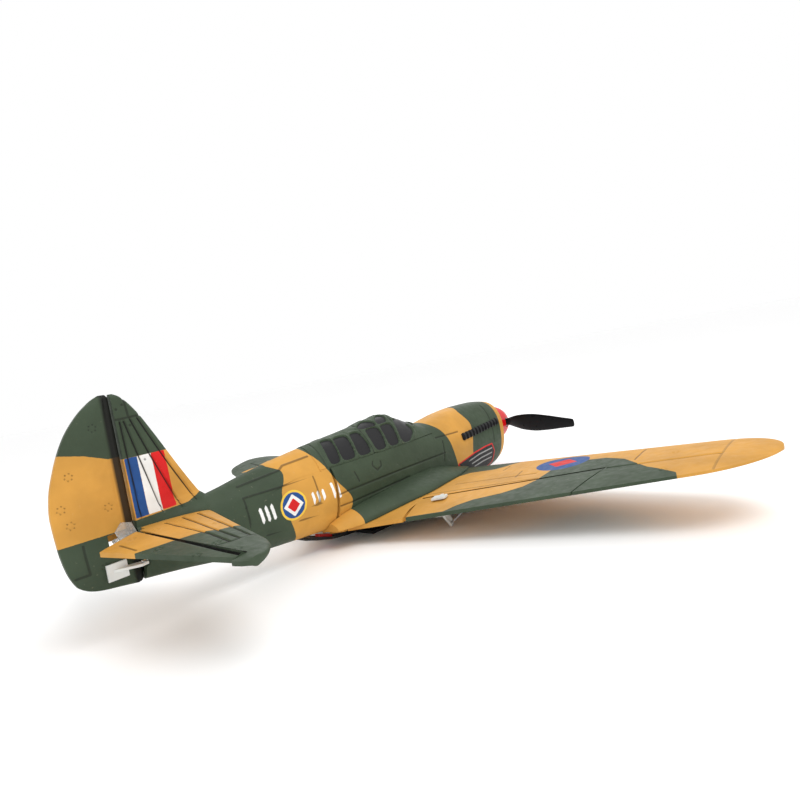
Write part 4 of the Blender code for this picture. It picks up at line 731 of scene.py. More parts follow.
def fields_for(shape, paint, **given):
    """Paint, seam and painted shade values over a body's rings; what isn't given lies outside every mark."""
    found = {key: np.full(shape, OUTSIDE) for key in ("seam", "deep", *(key for key, _ in paint))}
    for key, values in given.items():
        found[key][:, :values.shape[1]] = values
    return found


def fuselage_green(y, z):
    aft = smooth(AFT_TAN_START, 1, z) - y
    middle = np.minimum(y - smooth(AFT_TAN_END, 1, z), smooth(NOSE_TAN_START, 1, z) - y)
    cowl = np.minimum(y - smooth(NOSE_TAN_END, 1, z), NOSE_RING_BACK - y)
    return np.maximum(np.maximum(aft, middle), cowl)


def slanted_bar(spots, y, z, half_length, half_width=0.75, lean=0.18):
    """Signed distance to an upright bar that leans aft at its top."""
    up = spots[..., 1] - z
    across = np.abs(spots[..., 0] - y + lean * up)
    return np.minimum(half_width - across, half_length - np.abs(up))


def diamond(spots, centre, half):
    return (half - np.abs(spots[..., 0] - centre[0]) - np.abs(spots[..., 1] - centre[1])) / math.sqrt(2)


def fuselage_marks(spots):
    away = np.linalg.norm(spots - np.array(ROUNDEL), axis=-1)
    disc = ROUNDEL_RADIUS - ROUNDEL_RIM - away
    chin = inside(spots, CHIN_PANEL)
    return {
        "rim": ROUNDEL_RADIUS - away,
        "disc": disc,
        "white": np.minimum(diamond(spots, ROUNDEL, ROUNDEL_WHITE), disc),
        "red": diamond(spots, ROUNDEL, ROUNDEL_RED),
        "bars": np.max([slanted_bar(spots, *bar) for bar in BARS], axis=0),
        "panel_rim": chin + 0.9,
        "panel": chin,
        "louvres": np.minimum(seams(spots, LOUVRES, 0.45), chin - 0.8),
    }


def saddle_angle(y):
    """Where the fuselage's outline meets the wing's upper surface, as a section angle."""
    angles = np.linspace(0.3, math.pi, 600)
    points = body_point(y[:, None], angles[None, :])
    over = points[..., 2] - (wing_height(points[..., 0], points[..., 1], 1) + 0.25)
    first = np.argmax(over < 0, axis=1)
    return angles[first]


def fuselage_angles(y):
    """Section angles over each station, closer together on the flank, which carries the marks."""
    under_canopy = (y < CANOPY_FRONT - CANOPY_GAP) & (y > CANOPY_BACK + CANOPY_GAP)
    start = np.where(under_canopy, angle_at_height(y, CANOPY_SILL - 0.2), 0.0)
    start = np.where(y < STERN_CUT_Y, angle_at_height(y, STERN_CUT_Z), start)
    end = np.where((y < SADDLE_FRONT_Y) & (y > SADDLE_BACK_Y), saddle_angle(y), math.pi)
    shoulder_z = np.interp(y, (-225.0, -190.0), (2.5, 9.4))
    shoulder = np.maximum(angle_at_height(y, shoulder_z), start + 0.02)
    low = np.minimum(saddle_angle(np.clip(y, SADDLE_BACK_Y + 0.1, SADDLE_FRONT_Y - 0.1)), end) - 0.02
    spans = ((start, shoulder, 44, False), (shoulder, low, 84, False), (low, end, 22, True))
    outer = np.concatenate([a[:, None] + (b - a)[:, None] * np.linspace(0.0, 1.0, count, endpoint=last)
                            for a, b, count, last in spans], axis=1)
    return outer, start[:, None] + (end - start)[:, None] * np.linspace(1.0, 0.0, 22)


def make_fuselage():
    behind, lift = column_of(NOSE_ROUNDING)
    cuts = (CANOPY_FRONT - CANOPY_GAP, CANOPY_BACK + CANOPY_GAP, STERN_CUT_Y, SADDLE_FRONT_Y, SADDLE_BACK_Y)
    y = spread(NOSE_FRONT - np.array(behind), NOSE_FRONT, BODY_END, 0.6, [jump(at) for at in cuts])[::-1]
    angles, back = fuselage_angles(y)
    rounding = np.interp(NOSE_FRONT - y, behind, lift)[:, None]
    outer = body_point(y[:, None], angles, rounding)
    inner = body_point(y[:, None], back, -SKIN_DEPTH + 0 * rounding)
    spots = outer[..., 1:]
    # panel-line seams: carved, with painted shade in them
    seam = np.where(outer[..., 0] > 5.0, seams(spots, PANEL_LINES, SEAM_HALF), OUTSIDE)
    marks = {key: np.where(outer[..., 0] > 3.0, values, OUTSIDE)
             for key, values in fuselage_marks(spots).items()}
    rings = np.concatenate([outer, inner], axis=1)
    depth = np.zeros(rings.shape[:2])
    depth[:, :outer.shape[1]] = 0.34 * ramp(seam, -0.35, 0.3)
    rings = carve(rings, depth)
    x, y, z = (rings[..., k] for k in range(3))
    chin = (np.abs(x) < CHIN_HALF_WIDTH) & (z > CHIN_LOW_Z) & (z < CHIN_HIGH_Z)
    rings[..., 1] = np.where(chin & (y > CHIN_FRONT_Y), CHIN_FRONT_Y, y)
    rings[..., 0] = np.maximum(x, 0.11)
    fields = fields_for(rings.shape[:2], FUSELAGE_PAINT, seam=seam,
                        green=fuselage_green(rings[..., 1], z), **marks)
    for side, mirror in SIDES:
        own = rings.copy()
        if side == "right":  # room for the rudder horn's swing
            height = own[..., 2]
            swing = (own[..., 0] > HORN_SWING_X) & (height > HORN_SWING_LOW_Z) & (height < HORN_SWING_HIGH_Z)
            own[..., 1] = np.where(swing, np.maximum(own[..., 1], HORN_SWING_Y), own[..., 1])
        half = skin(f"skin_fuselage_{side}", own, foam_body, fields, mirror=mirror)
        placed(half, "airframe", "foam_green", f"fuselage_{side}")


def width_angle(y, x):
    """Signed section angle at which the upper fuselage surface is x from the middle."""
    share = np.clip(np.abs(x) / smooth(BODY, 1, y), 0.0, 1.0)
    return np.sign(x) * np.arcsin(share ** (smooth(BODY, 5, y) / 2))


def outline_from_heights(outline):
    return [(y, ARC * float(angle_at_height(y, z))) for y, z in outline]


def outline_from_widths(outline):
    return [(y, ARC * float(width_angle(y, x))) for y, x in outline]


def rounded_outline(outline, passes=3):
    """The outline with its corners cut round."""
    points = np.array(outline, float)
    for step in range(passes):
        share = 0.14 if step == 0 else 0.25
        after = np.roll(points, -1, axis=0)
        points = np.stack([points + (after - points) * share, after - (after - points) * share], 1)
        points = points.reshape(-1, 2)
    return points


def pane(outline, grown=0.7):
    """Points and faces of a thin domed pane over the canopy."""
    border = rounded_outline(outline)
    closed = np.concatenate([border, border[:1]])
    border = resample(np.column_stack([closed, np.zeros(len(closed))]), 97)[:-1, :2]
    middle = border.mean(axis=0)
    out = border - middle
    reach = np.linalg.norm(out, axis=1, keepdims=True)
    rings = []
    for scale, lift in PANE_LIFTS:
        at = middle + out * scale * (reach + grown) / reach
        rings.append(body_point(at[:, 0], at[:, 1] / ARC, lift))
    return shell(np.array(rings))


def make_canopy():
    y = spread((), CANOPY_FRONT, CANOPY_BACK, 0.5)[::-1]
    sill = angle_at_height(y, CANOPY_SILL)[:, None]
    outer_angles = sill * np.linspace(-1.0, 1.0, 150)
    inner_angles = sill * np.linspace(1.0, -1.0, 30)
    outer = body_point(y[:, None], outer_angles, CANOPY_LIFT)
    inner = body_point(y[:, None], inner_angles, -SKIN_DEPTH)
    spots = np.stack([outer[..., 1], ARC * outer_angles], -1)
    folded = np.abs(spots * np.array((0.0, 1.0))) + spots * np.array((1.0, 0.0))
    sides = [outline_from_heights(window) for window in SIDE_WINDOWS]
    roofs = [outline_from_widths(window) for window in ROOF_WINDOWS]
    front = outline_from_widths(FRONT_WINDOW)
    windows = np.maximum(any_inside(folded, [rounded_outline(o, 2) for o in (*sides, *roofs)]),
                         inside(spots, rounded_outline(front, 2))) + 0.45
    hoops = [((at, -40.0), (at, 40.0)) for at in (-113.6, -138.9, -171.5)]
    hoops += [((-171.5, 0.0), (CANOPY_BACK, 0.0)), ((-112.0, 0.0), (-150.0, 0.0))]
    # canopy hoop seams: carved, with painted shade in them
    seam = np.where(windows > -0.7, OUTSIDE, seams(spots, hoops, 0.38))
    raised = 0.35 * ramp(windows, -1.5, -0.9)
    rings = np.concatenate([outer, inner], axis=1)
    depth = np.zeros(rings.shape[:2])
    depth[:, :outer.shape[1]] = 1.25 * ramp(windows, -0.15, 0.35) - raised + 0.3 * ramp(seam, -0.35, 0.3)
    rings = carve(rings, depth)
    # window recesses painted black: the windows' own black, with painted shade on the recess walls around the
    # panes
    glazed = np.where(windows > 0.1, windows, OUTSIDE)
    fields = fields_for(rings.shape[:2], PAINTED, seam=seam, deep=glazed,
                        green=fuselage_green(outer[..., 1], outer[..., 2]))
    placed(skin("skin_canopy", rings, foam_plain, fields), "airframe", "foam_green", "canopy")
    mirrored = np.array((-1.0, 1.0, 1.0))

    def both(outlines):
        shapes = [pane(outline) for outline in outlines]
        return shapes, [(points * mirrored, faces) for points, faces in shapes]

    for (side, _), panes in zip(SIDES, both(sides[:-1])):
        glass = joined(f"panes_{side}", panes, pane_black)
        placed(glass, "airframe", "glazing_black", f"side_glazing_{side}")
    quarters = [shapes[0] for shapes in both(sides[-1:])]
    placed(joined("panes_windscreen", [*quarters, pane(front)], pane_black), "airframe", "glazing_black",
           "windscreen")
    roof = [shape for pair in zip(*both(roofs)) for shape in pair]
    placed(joined("panes_roof", roof, pane_black), "airframe", "glazing_black", "roof_glazing")


def make_exhausts():
    stations = np.linspace(EXHAUST_FRONT, EXHAUST_FRONT - EXHAUST_STUBS * EXHAUST_PITCH, 360)
    phase = ((EXHAUST_FRONT - stations) / EXHAUST_PITCH) % 1.0
    pipe = ramp(phase, 0.12, 0.24) * (1 - ramp(phase, 0.72, 0.86))
    around = np.linspace(0.0, math.pi, 17)
    base = 0.7
    rings = []
    for y, bulge, share in zip(stations, pipe, phase):
        out = base + bulge * (0.8 + 0.3 * share)
        middle_z = float(np.interp(y, (EXHAUST_BACK, EXHAUST_FRONT), (2.0, 4.2)))
        z = middle_z + 2.3 * np.cos(around) * (0.86 + 0.14 * bulge)
        x = body_half_width(y, z) + 0.15 + out * np.sin(around) ** 0.55
        arc = points_at(x, y, z)
        foot_z = z[-2:0:-1]
        foot = points_at(body_half_width(y, foot_z) - 0.3, y, foot_z)
        rings.append(np.concatenate([arc, foot]))
    for side, mirror in SIDES:
        strip = skin(f"stubs_{side}", rings, soft_black, mirror=mirror)
        placed(strip, "airframe", "plastic_black", f"exhaust_{side}")


# ---------------------------------------------------------------- wing, fairings and ailerons

def wing_green(x, y, port):
    spots = np.stack([x, y], -1)
    outlines = [WING_GREEN_ROOT, WING_GREEN_OUTER] + ([WING_GREEN_PORT_TIP] if port else [])
    leading, trailing = wing_edges(x)
    chord = leading - trailing
    front = WING_GREEN_FRONT * chord - (leading - y)
    return np.maximum(any_inside(spots, outlines), front)


def wing_slant(x):
    inner, outer = AILERON_IN_X - AILERON_END_GAP, AILERON_OUT_X + AILERON_END_GAP
    return np.interp(x, (0.0, inner, outer, WING_TIP_START_X),
                     (0.0, AILERON_IN_SLANT, AILERON_OUT_SLANT, 0.0))


def linkage_axes():
    """Origin and axes of the aileron linkage: along the hinge, forward, up."""
    ends = [np.array((x, *aileron_hinge(x))) for x in (AILERON_IN_X, AILERON_OUT_X)]
    hinge = (ends[1] - ends[0]) / np.linalg.norm(ends[1] - ends[0])
    forward = np.cross((0, 0, 1), hinge)
    forward /= np.linalg.norm(forward)
    origin = np.array((LINKAGE_X, *aileron_hinge(LINKAGE_X)))
    return origin, np.stack([hinge, forward, np.cross(hinge, forward)])


def sunk_servo_bay(points):
    """The wing's lower surface with the servo's bay sunk into it, its walls snapped straight."""
    origin, axes = linkage_axes()
    local = (points - origin) @ axes.T
    low, high = np.array(SERVO_BAY_LOW), np.array(SERVO_BAY_HIGH)
    for k in range(2):
        other = 1 - k
        within = (local[..., other] > low[other] - 0.5) & (local[..., other] < high[other] + 0.5)
        for edge in (low[k], high[k]):
            near = within & (np.abs(local[..., k] - edge) < 0.42)
            local[..., k] = np.where(near, edge, local[..., k])
    bay = np.all((local[..., :2] > low + 0.01) & (local[..., :2] < high - 0.01), axis=-1)
    local[..., 2] = np.where(bay, SERVO_BAY_ROOF, local[..., 2])
    return origin + local @ axes


def wing_rings(columns, front_y=None, back_y=None, upper_count=190, lower_count=120, root=False):
    """Rings of the starboard wing; the aileron's cove closes the ones that face it."""
    inner, outer = AILERON_IN_X - AILERON_END_GAP, AILERON_OUT_X + AILERON_END_GAP
    rings = []
    turn = np.radians(np.linspace(-COVE_HALF_TURN, COVE_HALF_TURN, COVE_POINTS))
    upper_share = np.linspace(0.0, 1.0, upper_count) ** 0.92
    lower_share = np.linspace(1.0, 0.0, lower_count)
    for column in columns:
        leading, trailing = (float(v) for v in wing_edges(column))
        hinge_y, hinge_z = aileron_hinge(column)
        facing = inner < column < outer and not root
        slant = 0.0 if root or facing else float(wing_slant(column))
        for _ in range(2):
            aft_x = column + slant * max(hinge_y - trailing, 0.0)
            trailing = float(wing_edges(min(aft_x, 191.9))[1])
        first = leading if front_y is None else front_y
        last = trailing if back_y is None else back_y
        radius = float(aileron_nose_radius(column)) + AILERON_COVE_GAP if facing else 0.0
        if facing:
            last = hinge_y + radius * math.cos(turn[-1])
        y = last + (first - last) * upper_share
        x = column + slant * np.maximum(hinge_y - y, 0.0)
        top = np.stack([x, y, wing_height(x, y, 1)], -1)
        y = last + (first - last) * lower_share
        x = column + slant * np.maximum(hinge_y - y, 0.0)
        bottom = np.stack([x, y, wing_height(x, y, -1)], -1)[1:]
        if facing:
            closing = points_at(column, hinge_y + radius * np.cos(turn), hinge_z + radius * np.sin(turn))
        else:
            closing = bottom[-1] + (top[0] - bottom[-1]) * np.linspace(0.0, 1.0, 16)[1:-1, None]
        rings.append(np.concatenate([top, bottom, closing]))
    rings = np.array(rings)
    if root:
        y, z = rings[..., 1], rings[..., 2]
        under = np.arange(rings.shape[1]) >= upper_count
        hatch = (rings[..., 0] < HATCH_ROOM_X) & (y < HATCH_ROOM_Y) & under
        rings[..., 2] = np.where(hatch, np.maximum(z, HATCH_ROOM_Z), z)
        latch = (rings[..., 0] < LATCH_ROOM_X) & (y < LATCH_ROOM_Y) & under
        rings[..., 2] = np.where(latch, np.maximum(rings[..., 2], LATCH_ROOM_Z), rings[..., 2])
    return rings, upper_count


def wing_part(columns, port, **options):
    rings, count = wing_rings(columns, **options)
    top = rings[:, :count]
    spots = top[..., :2]
    away = np.linalg.norm(spots - np.array(WING_SPOT), axis=-1)
    lines = seams(spots, WING_LINES, SEAM_HALF)
    vents = pimples(spots, WING_VENTS)
    # hinge line carved and darkened: painted shade in the aileron's hinge gap, and the painted line that runs
    # on outboard of it
    hinge_line = seams(spots, [WING_HINGE_LINE], 1.0)
    fields = fields_for(rings.shape[:2], WING_PAINT, seam=np.maximum(lines, vents - 0.1),
                        green=wing_green(rings[..., 0], rings[..., 1], port), disc=WING_SPOT_RADIUS - away,
                        red=diamond(spots, WING_SPOT, WING_SPOT_RED), deep=hinge_line - 0.4)
    # cove faces that look into the aileron's gap are painted black: painted shade
    if not options.get("root"):
        facing = (columns > AILERON_IN_X - AILERON_END_GAP) & (columns < AILERON_OUT_X + AILERON_END_GAP)
        fields["deep"][facing, -COVE_POINTS:] = 1.0
    depth = np.zeros(rings.shape[:2])
    depth[:, :count] = (SEAM_DEPTH * ramp(lines, -0.35, 0.3) + SEAM_DEPTH * ramp(vents, -0.2, 0.3)
                        + RIB_DEPTH * ramp(hinge_line, -0.1, 0.6))
    rings = carve(rings, depth)
    if not options.get("root"):
        rings[:, count:-COVE_POINTS] = sunk_servo_bay(rings[:, count:-COVE_POINTS])
    return rings, fields


def make_wings():
    inner, outer = AILERON_IN_X - AILERON_END_GAP, AILERON_OUT_X + AILERON_END_GAP
    tip = WING_TIP_START_X + 26.9 * np.sin(np.linspace(0.0, math.pi / 2, 46))
    columns = spread(tip, WING_ROOT_X, WING_TIP_START_X, 0.75, [jump(inner), jump(outer)])
    root_columns = np.unique([*np.arange(0.15, 10.9, 0.7), *jump(LATCH_ROOM_X), *jump(HATCH_ROOM_X),
                              WING_ROOT_X + 0.02])
    for side, mirror in SIDES:
        parts = [wing_part(columns, mirror)]
        for place in ({"back_y": WING_GAP_FRONT_Y, "lower_count": 40},
                      {"front_y": WING_GAP_BACK_Y, "lower_count": 50}):
            parts.append(wing_part(root_columns, mirror, upper_count=60, root=True, **place))
        points, faces, fields = [], [], {}
        base = 0
        for rings, own in parts:
            flat = rings.reshape(-1, 3) * np.array((-1.0 if mirror else 1.0, 1.0, 1.0))
            points.append(flat)
            faces += [tuple(base + i for i in face) for face in ring_faces(*rings.shape[:2])]
            base += len(flat)
            for key, values in own.items():
                fields.setdefault(key, []).append(values.ravel())
        fields = {key: np.concatenate(values) for key, values in fields.items()}
        panel = mesh_object(f"skin_wing_{side}", np.concatenate(points), faces, foam_wing, fields)
        placed(panel, "airframe", "foam_tan", f"wing_{side}")


def make_fairings():
    stations = spread((), FAIRING[0][0], FAIRING[-1][0], 0.7)[::-1]
    turn = np.linspace(0.0, math.pi / 2, 34)
    rings = []
    for y in stations:
        seam_z, edge_x = float(smooth(FAIRING, 1, y)), float(smooth(FAIRING, 2, y))

        def floor(x, y=y):
            return np.maximum(wing_height(x, y, 1), wing_height(x, WING_TE_ROOT_Y, 1)) + SKIN_GAP

        seam_x = float(body_half_width(y, seam_z)) + SKIN_GAP
        drop = seam_z - floor(edge_x) - 0.2
        x = seam_x + (edge_x - seam_x) * np.sin(turn) ** 1.35
        z = floor(edge_x) + 0.2 + drop * np.cos(turn)
        z = np.maximum(z, floor(x) + 0.2)
        z[0] = max(seam_z, floor(seam_x) + 0.7)
        outer = points_at(x, y, z)
        base_x = np.linspace(edge_x, float(body_half_width(y, floor(seam_x))) + SKIN_GAP, 10)
        base = points_at(base_x, y, floor(base_x))
        wall_z = np.linspace(floor(base_x[-1]), z[0], 8)[1:-1]
        wall = points_at(body_half_width(y, wall_z) + SKIN_GAP, y, wall_z)
        rings.append(np.concatenate([outer, base, wall]))
    rings = np.array(rings)
    green = rings[..., 1] - FAIRING_GREEN_Y
    for side, mirror in SIDES:
        fields = fields_for(rings.shape[:2], PAINTED, green=green)
        item = skin(f"skin_fairing_{side}", rings, foam_plain, fields, mirror=mirror)
        placed(item, "airframe", "foam_green", f"wing_fairing_{side}")


def make_ailerons():
    columns = spread((), AILERON_IN_X, AILERON_OUT_X, 0.7)
    upper_share = np.linspace(0.0, 1.0, 62)[1:]
    rings = []
    for column in columns:
        hinge_y, hinge_z = aileron_hinge(column)
        radius = float(aileron_nose_radius(column))
        share = (column - AILERON_IN_X) / (AILERON_OUT_X - AILERON_IN_X)
        slant = AILERON_IN_SLANT + (AILERON_OUT_SLANT - AILERON_IN_SLANT) * share
        end_x = column + slant * (hinge_y - float(wing_edges(column)[1]))
        end_y = float(wing_edges(end_x)[1])
        turn = np.radians(np.linspace(-80.0, 80.0, 18))
        nose = points_at(column, hinge_y + radius * np.cos(turn), hinge_z + radius * np.sin(turn))
        x = column + (end_x - column) * upper_share
        y = hinge_y + (end_y - hinge_y) * upper_share
        top = np.stack([x, y, wing_height(x, y, 1)], -1)
        x, y = x[::-2], y[::-2]
        bottom = np.stack([x, y, wing_height(x, y, -1)], -1)
        rings.append(np.concatenate([nose, top, bottom]))
    rings = np.array(rings)
    trailing = wing_edges(rings[..., 0])[1]
    for side, mirror in SIDES:
        green = np.maximum(wing_green(rings[..., 0], rings[..., 1], mirror), 0.9 - (rings[..., 1] - trailing))
        # the aileron's nose, inside the hinge gap, is painted black: painted shade
        fields = fields_for(rings.shape[:2], WING_PAINT, green=green,
                            deep=np.ones((len(rings), 17)))
        item = skin(f"skin_aileron_{side}", rings, foam_wing, fields, mirror=mirror)
        placed(item, f"aileron_{side}_panel", "foam_tan", f"aileron_{side}")


# ---------------------------------------------------------------- tail

def tail_fields(rings, count):
    """Paint, grooves and vents of a tail surface whose first points run over its top."""
    top = rings[:, :count]
    spots = np.stack([np.abs(top[..., 0]), top[..., 1]], -1)
    deep = seams(spots, TAIL_GROOVES, RIB_HALF)
    lines = seams(spots, TAIL_LINES, SEAM_HALF)
    vents = pimples(spots, TAIL_VENTS)
    depth = np.zeros(rings.shape[:2])
    depth[:, :count] = (RIB_DEPTH * ramp(deep, 0.0, 0.5)
                        + SEAM_DEPTH * ramp(np.maximum(lines, vents), -0.3, 0.3))
    x, y = np.abs(rings[..., 0]), rings[..., 1]
    # rib grooves darkened towards black: painted shade in the grooves
    fields = fields_for(rings.shape[:2], PAINTED, seam=np.maximum(lines, vents - 0.1), deep=deep - 0.35,
                        green=x - smooth(TAIL_GREEN_EDGE, 1, y))
    return carve(rings, depth), fields


def make_tailplane():
    edge = ELEVATOR_OUT_X + ELEVATOR_TIP_GAP
    tip = TAIL_TIP_START_X + 16.4 * np.sin(np.linspace(0.0, math.pi / 2, 30))
    half = spread(tip, 0.3, TAIL_TIP_START_X, 0.5, [jump(edge), jump(ELEVATOR_IN_X)])
    columns = np.concatenate([-half[::-1], half])
    count, under = 76, 36
    rings = []
    for x in columns:
        leading, trailing = (float(v) for v in tail_edges(x))
        level = float(tail_plane_z(x))
        middle_z = (level + ELEVATOR_AXIS[2]) / 2
        turn = np.radians(np.linspace(-60.0, 60.0, 10))
        if abs(x) < ELEVATOR_IN_X:
            last = TAIL_CENTRE_BACK_Y
        elif abs(x) < edge:
            last = ELEVATOR_AXIS[1] + COVE_REACH * 0.5
        else:
            last = trailing
        y = last + (leading - last) * np.linspace(0.0, 1.0, count)
        top = points_at(x, y, level + tail_half_thickness(x, y))
        y = leading + (last - leading) * np.linspace(0.0, 1.0, under + 1)[1:]
        bottom = points_at(x, y, level - tail_half_thickness(x, y))
        if ELEVATOR_IN_X < abs(x) < edge:
            closing = points_at(x, ELEVATOR_AXIS[1] + COVE_REACH * np.cos(turn), middle_z + 2.3 * np.sin(turn))
        else:
            closing = bottom[-1] + (top[0] - bottom[-1]) * np.linspace(0.0, 1.0, 12)[1:-1, None]
        rings.append(np.concatenate([top, bottom, closing]))
    rings, fields = tail_fields(np.array(rings), count)
    # the cove faces towards the elevators are painted black: painted shade in the gap
    facing = (np.abs(columns) > ELEVATOR_IN_X) & (np.abs(columns) < edge)
    fields["deep"][facing, -10:] = 1.0
    placed(skin("skin_tailplane", rings, foam_plain, fields), "airframe", "foam_tan", "tailplane")


def make_elevators():
    columns = spread((), ELEVATOR_IN_X, ELEVATOR_OUT_X, 0.6)
    share = np.linspace(0.0, 1.0, 36)[1:]
    rings = []
    for column in columns:
        half = float(tail_half_thickness(column, ELEVATOR_AXIS[1]))
        turn = np.radians(np.linspace(-84.0, 84.0, 14))
        nose = points_at(column, ELEVATOR_AXIS[1] + 1.5 * np.cos(turn),
                         tail_plane_z(column) + half * np.sin(turn))
        x = column + float(np.interp(column, *column_of(ELEVATOR_SKEW))) * share
        end = TAIL_TE_ROOT_Y + TAIL_TE_SLOPE * x
        y = ELEVATOR_AXIS[1] + (end - ELEVATOR_AXIS[1]) * share
        thick = half + (0.9 - half) * share
        top = np.stack([x, y, tail_plane_z(x) + thick], -1)
        bottom = np.stack([x, y, tail_plane_z(x) - thick], -1)[::-1]
        rings.append(np.concatenate([nose, top, bottom]))
    rings, fields = tail_fields(np.array(rings), 14 + len(share))
    # the elevator's nose, inside the hinge gap, is painted black: painted shade
    fields["deep"][:, :13] = 1.0
    for side, mirror in SIDES:
        item = skin(f"skin_elevator_{side}", rings, foam_plain, fields, mirror=mirror)
        placed(item, "elevator_panels", "foam_tan", f"elevator_{side}")


def make_fin():
    back_y = RUDDER_AXIS_Y + RUDDER_NOSE_RADIUS + 0.4
    levels = spread((61.4, 61.9, 62.2), FIN_ROOT[0][0], FIN_TOP_Z, 0.5)
    share = np.concatenate([[0.0, 0.01, 0.03], np.linspace(0.06, 1.0, 50)])
    rings = []
    for z in levels:
        leading = float(smooth(FIN_LEADING if z > FIN_ROOT[-1][0] else FIN_ROOT, 1, z))
        half = float(smooth(FIN_HALF, 1, z) if z > FIN_ROOT[-1][0] else smooth(FIN_ROOT, 2, z))
        half *= math.sqrt(min((62.75 - z) / 1.6, 1.0))
        end_half = min(half, RUDDER_NOSE_RADIUS)
        of_half = np.interp(share, (0.0, 0.01, 0.03, 0.12, 0.35, 0.7, 1.0),
                            (0.0, 0.26, 0.45, 0.8, 1.0, 0.5, 0.0))
        of_end = np.interp(share, (0.35, 0.7, 1.0), (0.0, 0.5, 1.0))
        x = half * of_half + end_half * of_end
        y = leading + (back_y - leading) * share
        starboard = np.stack([x, y, np.full(len(x), z)], -1)
        port = (starboard * np.array((-1.0, 1.0, 1.0)))[:0:-1]
        rings.append(np.concatenate([starboard, port]))
    rings = np.array(rings)
    spots = rings[..., 1:]
    y, z = spots[..., 0], spots[..., 1]
    ribs = seams(spots, FIN_RIBS, RIB_HALF)
    lines = np.maximum(seams(spots, FIN_LINES, SEAM_HALF), pimples(spots, FIN_VENTS, 0.5, 0.0))
    end_face = np.abs(rings[..., 1] - back_y) < 0.01
    ribs, lines = (np.where(end_face, OUTSIDE, values) for values in (ribs, lines))
    rings = carve(rings, RIB_DEPTH * ramp(ribs, 0.0, 0.5) + 0.25 * ramp(lines, -0.3, 0.3))
    stripe_low = np.interp(y, (-262.0, -240.0), (STRIPE_LOW_Z, STRIPE_LOW_Z + 1.0))
    band = np.minimum(z - stripe_low, FIN_GREEN_Z - z)
    stripes = {key: np.minimum(band, np.minimum(front - y, y - back)) for key, back, front in FIN_STRIPES}
    green = np.maximum(z - FIN_GREEN_Z, np.interp(y, *column_of(FIN_FOOT_GREEN)) - z)
    # the fin's rib grooves are darkened: painted shade in the grooves
    fields = fields_for(rings.shape[:2], FIN_PAINT, seam=lines, deep=ribs - 0.4,
                        green=green, **stripes)
    placed(skin("skin_fin", rings, foam_fin, fields), "airframe", "foam_green", "fin")


def make_rudder():
    notch_low, notch_high = ELEVATOR_AXIS[2] - RUDDER_NOTCH_HALF, ELEVATOR_AXIS[2] + RUDDER_NOTCH_HALF
    levels = spread((61.9, 62.25), -12.0, 62.4, 0.5, [jump(notch_low), jump(notch_high)])
    rings = []
    for z in levels:
        trailing = float(smooth(RUDDER_TRAILING, 1, z))
        rounding = math.sqrt(min((62.9 - z) / 1.8, (z + 12.5) / 1.8, 1.0))
        radius = RUDDER_NOSE_RADIUS * rounding
        turn = np.radians(np.linspace(0.0, 90.0, 10))
        nose = np.stack([0.5 * radius * np.sin(turn), RUDDER_AXIS_Y + radius * np.cos(turn)], -1)
        share = np.linspace(0.0, 1.0, 50)[1:]
        x = np.interp(share, (0.0, 0.05, 0.14, 0.4, 1.0),
                      (radius * 0.5, radius * 0.62, radius * 0.98, radius * 0.95, 0.9 * rounding))
        flank = np.stack([x, RUDDER_AXIS_Y + (trailing - RUDDER_AXIS_Y) * share], -1)
        side = np.concatenate([nose, flank])
        if notch_low < z < notch_high:
            side[:, 1] = np.minimum(side[:, 1], RUDDER_NOTCH_Y)
        starboard = np.column_stack([side, np.full(len(side), z)])
        port = (starboard * np.array((-1.0, 1.0, 1.0)))[:0:-1]
        rings.append(np.concatenate([starboard, port]))
    rings = np.array(rings)
    spots = rings[..., 1:]
    z = spots[..., 1]
    upper = np.interp(spots[..., 0], *column_of(RUDDER_GREEN_EDGE))
    lines = np.maximum(seams(spots, RUDDER_LINES, SEAM_HALF), pimples(spots, RUDDER_VENTS) - 0.1)
    rings = carve(rings, 0.25 * ramp(lines, -0.3, 0.3))
    # darker towards the rudder's nose: painted shade of the groove between fin and rudder
    hinge_shade = np.clip((spots[..., 0] + 266.2) * 0.16, OUTSIDE, 1.0)
    fields = fields_for(rings.shape[:2], FIN_PAINT, seam=lines, deep=hinge_shade,
                        green=np.maximum(z - upper, RUDDER_FOOT_Z - z))
    placed(skin("skin_rudder", rings, foam_fin, fields), "rudder_panel", "foam_tan", "rudder")


# ---------------------------------------------------------------- propeller and spinner


def turned_to_rest(points):
    """The propeller stands a few degrees off level."""
    turn = math.radians(PROPELLER_TURN)
    x, z = points[..., 0], points[..., 2]
    return np.stack([x * math.cos(turn) + z * math.sin(turn), points[..., 1],
                     z * math.cos(turn) - x * math.sin(turn)], -1)


def blade(sign):
    radii = np.concatenate([np.linspace(2.0, 60.0, 90), np.array((60.6, 61.1, 61.5, 61.8, PROPELLER_RADIUS))])
    profile = np.array(BLADE_SECTION)
    rings = []
    for radius in radii:
        fuller = 1 + 0.13 * math.sin(math.pi * radius / PROPELLER_RADIUS)
        chord = float(smooth(BLADE_CHORD, 1, radius)) * fuller
        twist = math.atan2(PROPELLER_PITCH, 2 * math.pi * max(radius, TWIST_STOPS_AT))
        ahead = profile[:, 1] * max(0.9, chord * 0.11) * 0.6
        along = profile[:, 0] * chord
        y = PROPELLER_Y + ahead * math.cos(twist) - along * math.sin(twist)
        z = along * sign * math.cos(twist) + ahead * math.sin(twist) * sign
        rings.append(np.stack([np.full(len(y), sign * radius), y, z], -1))
    return shell(turned_to_rest(np.array(rings)))


def turned(profile, sides=96):
    """Points and faces of a body turned about the propeller's axis; profile of (y, radius)."""
    turn = np.linspace(0.0, 2 * math.pi, sides, endpoint=False)
    rings = [np.stack([r * np.sin(turn), np.full(sides, y), r * np.cos(turn)], -1) for y, r in profile]
    return shell(rings)


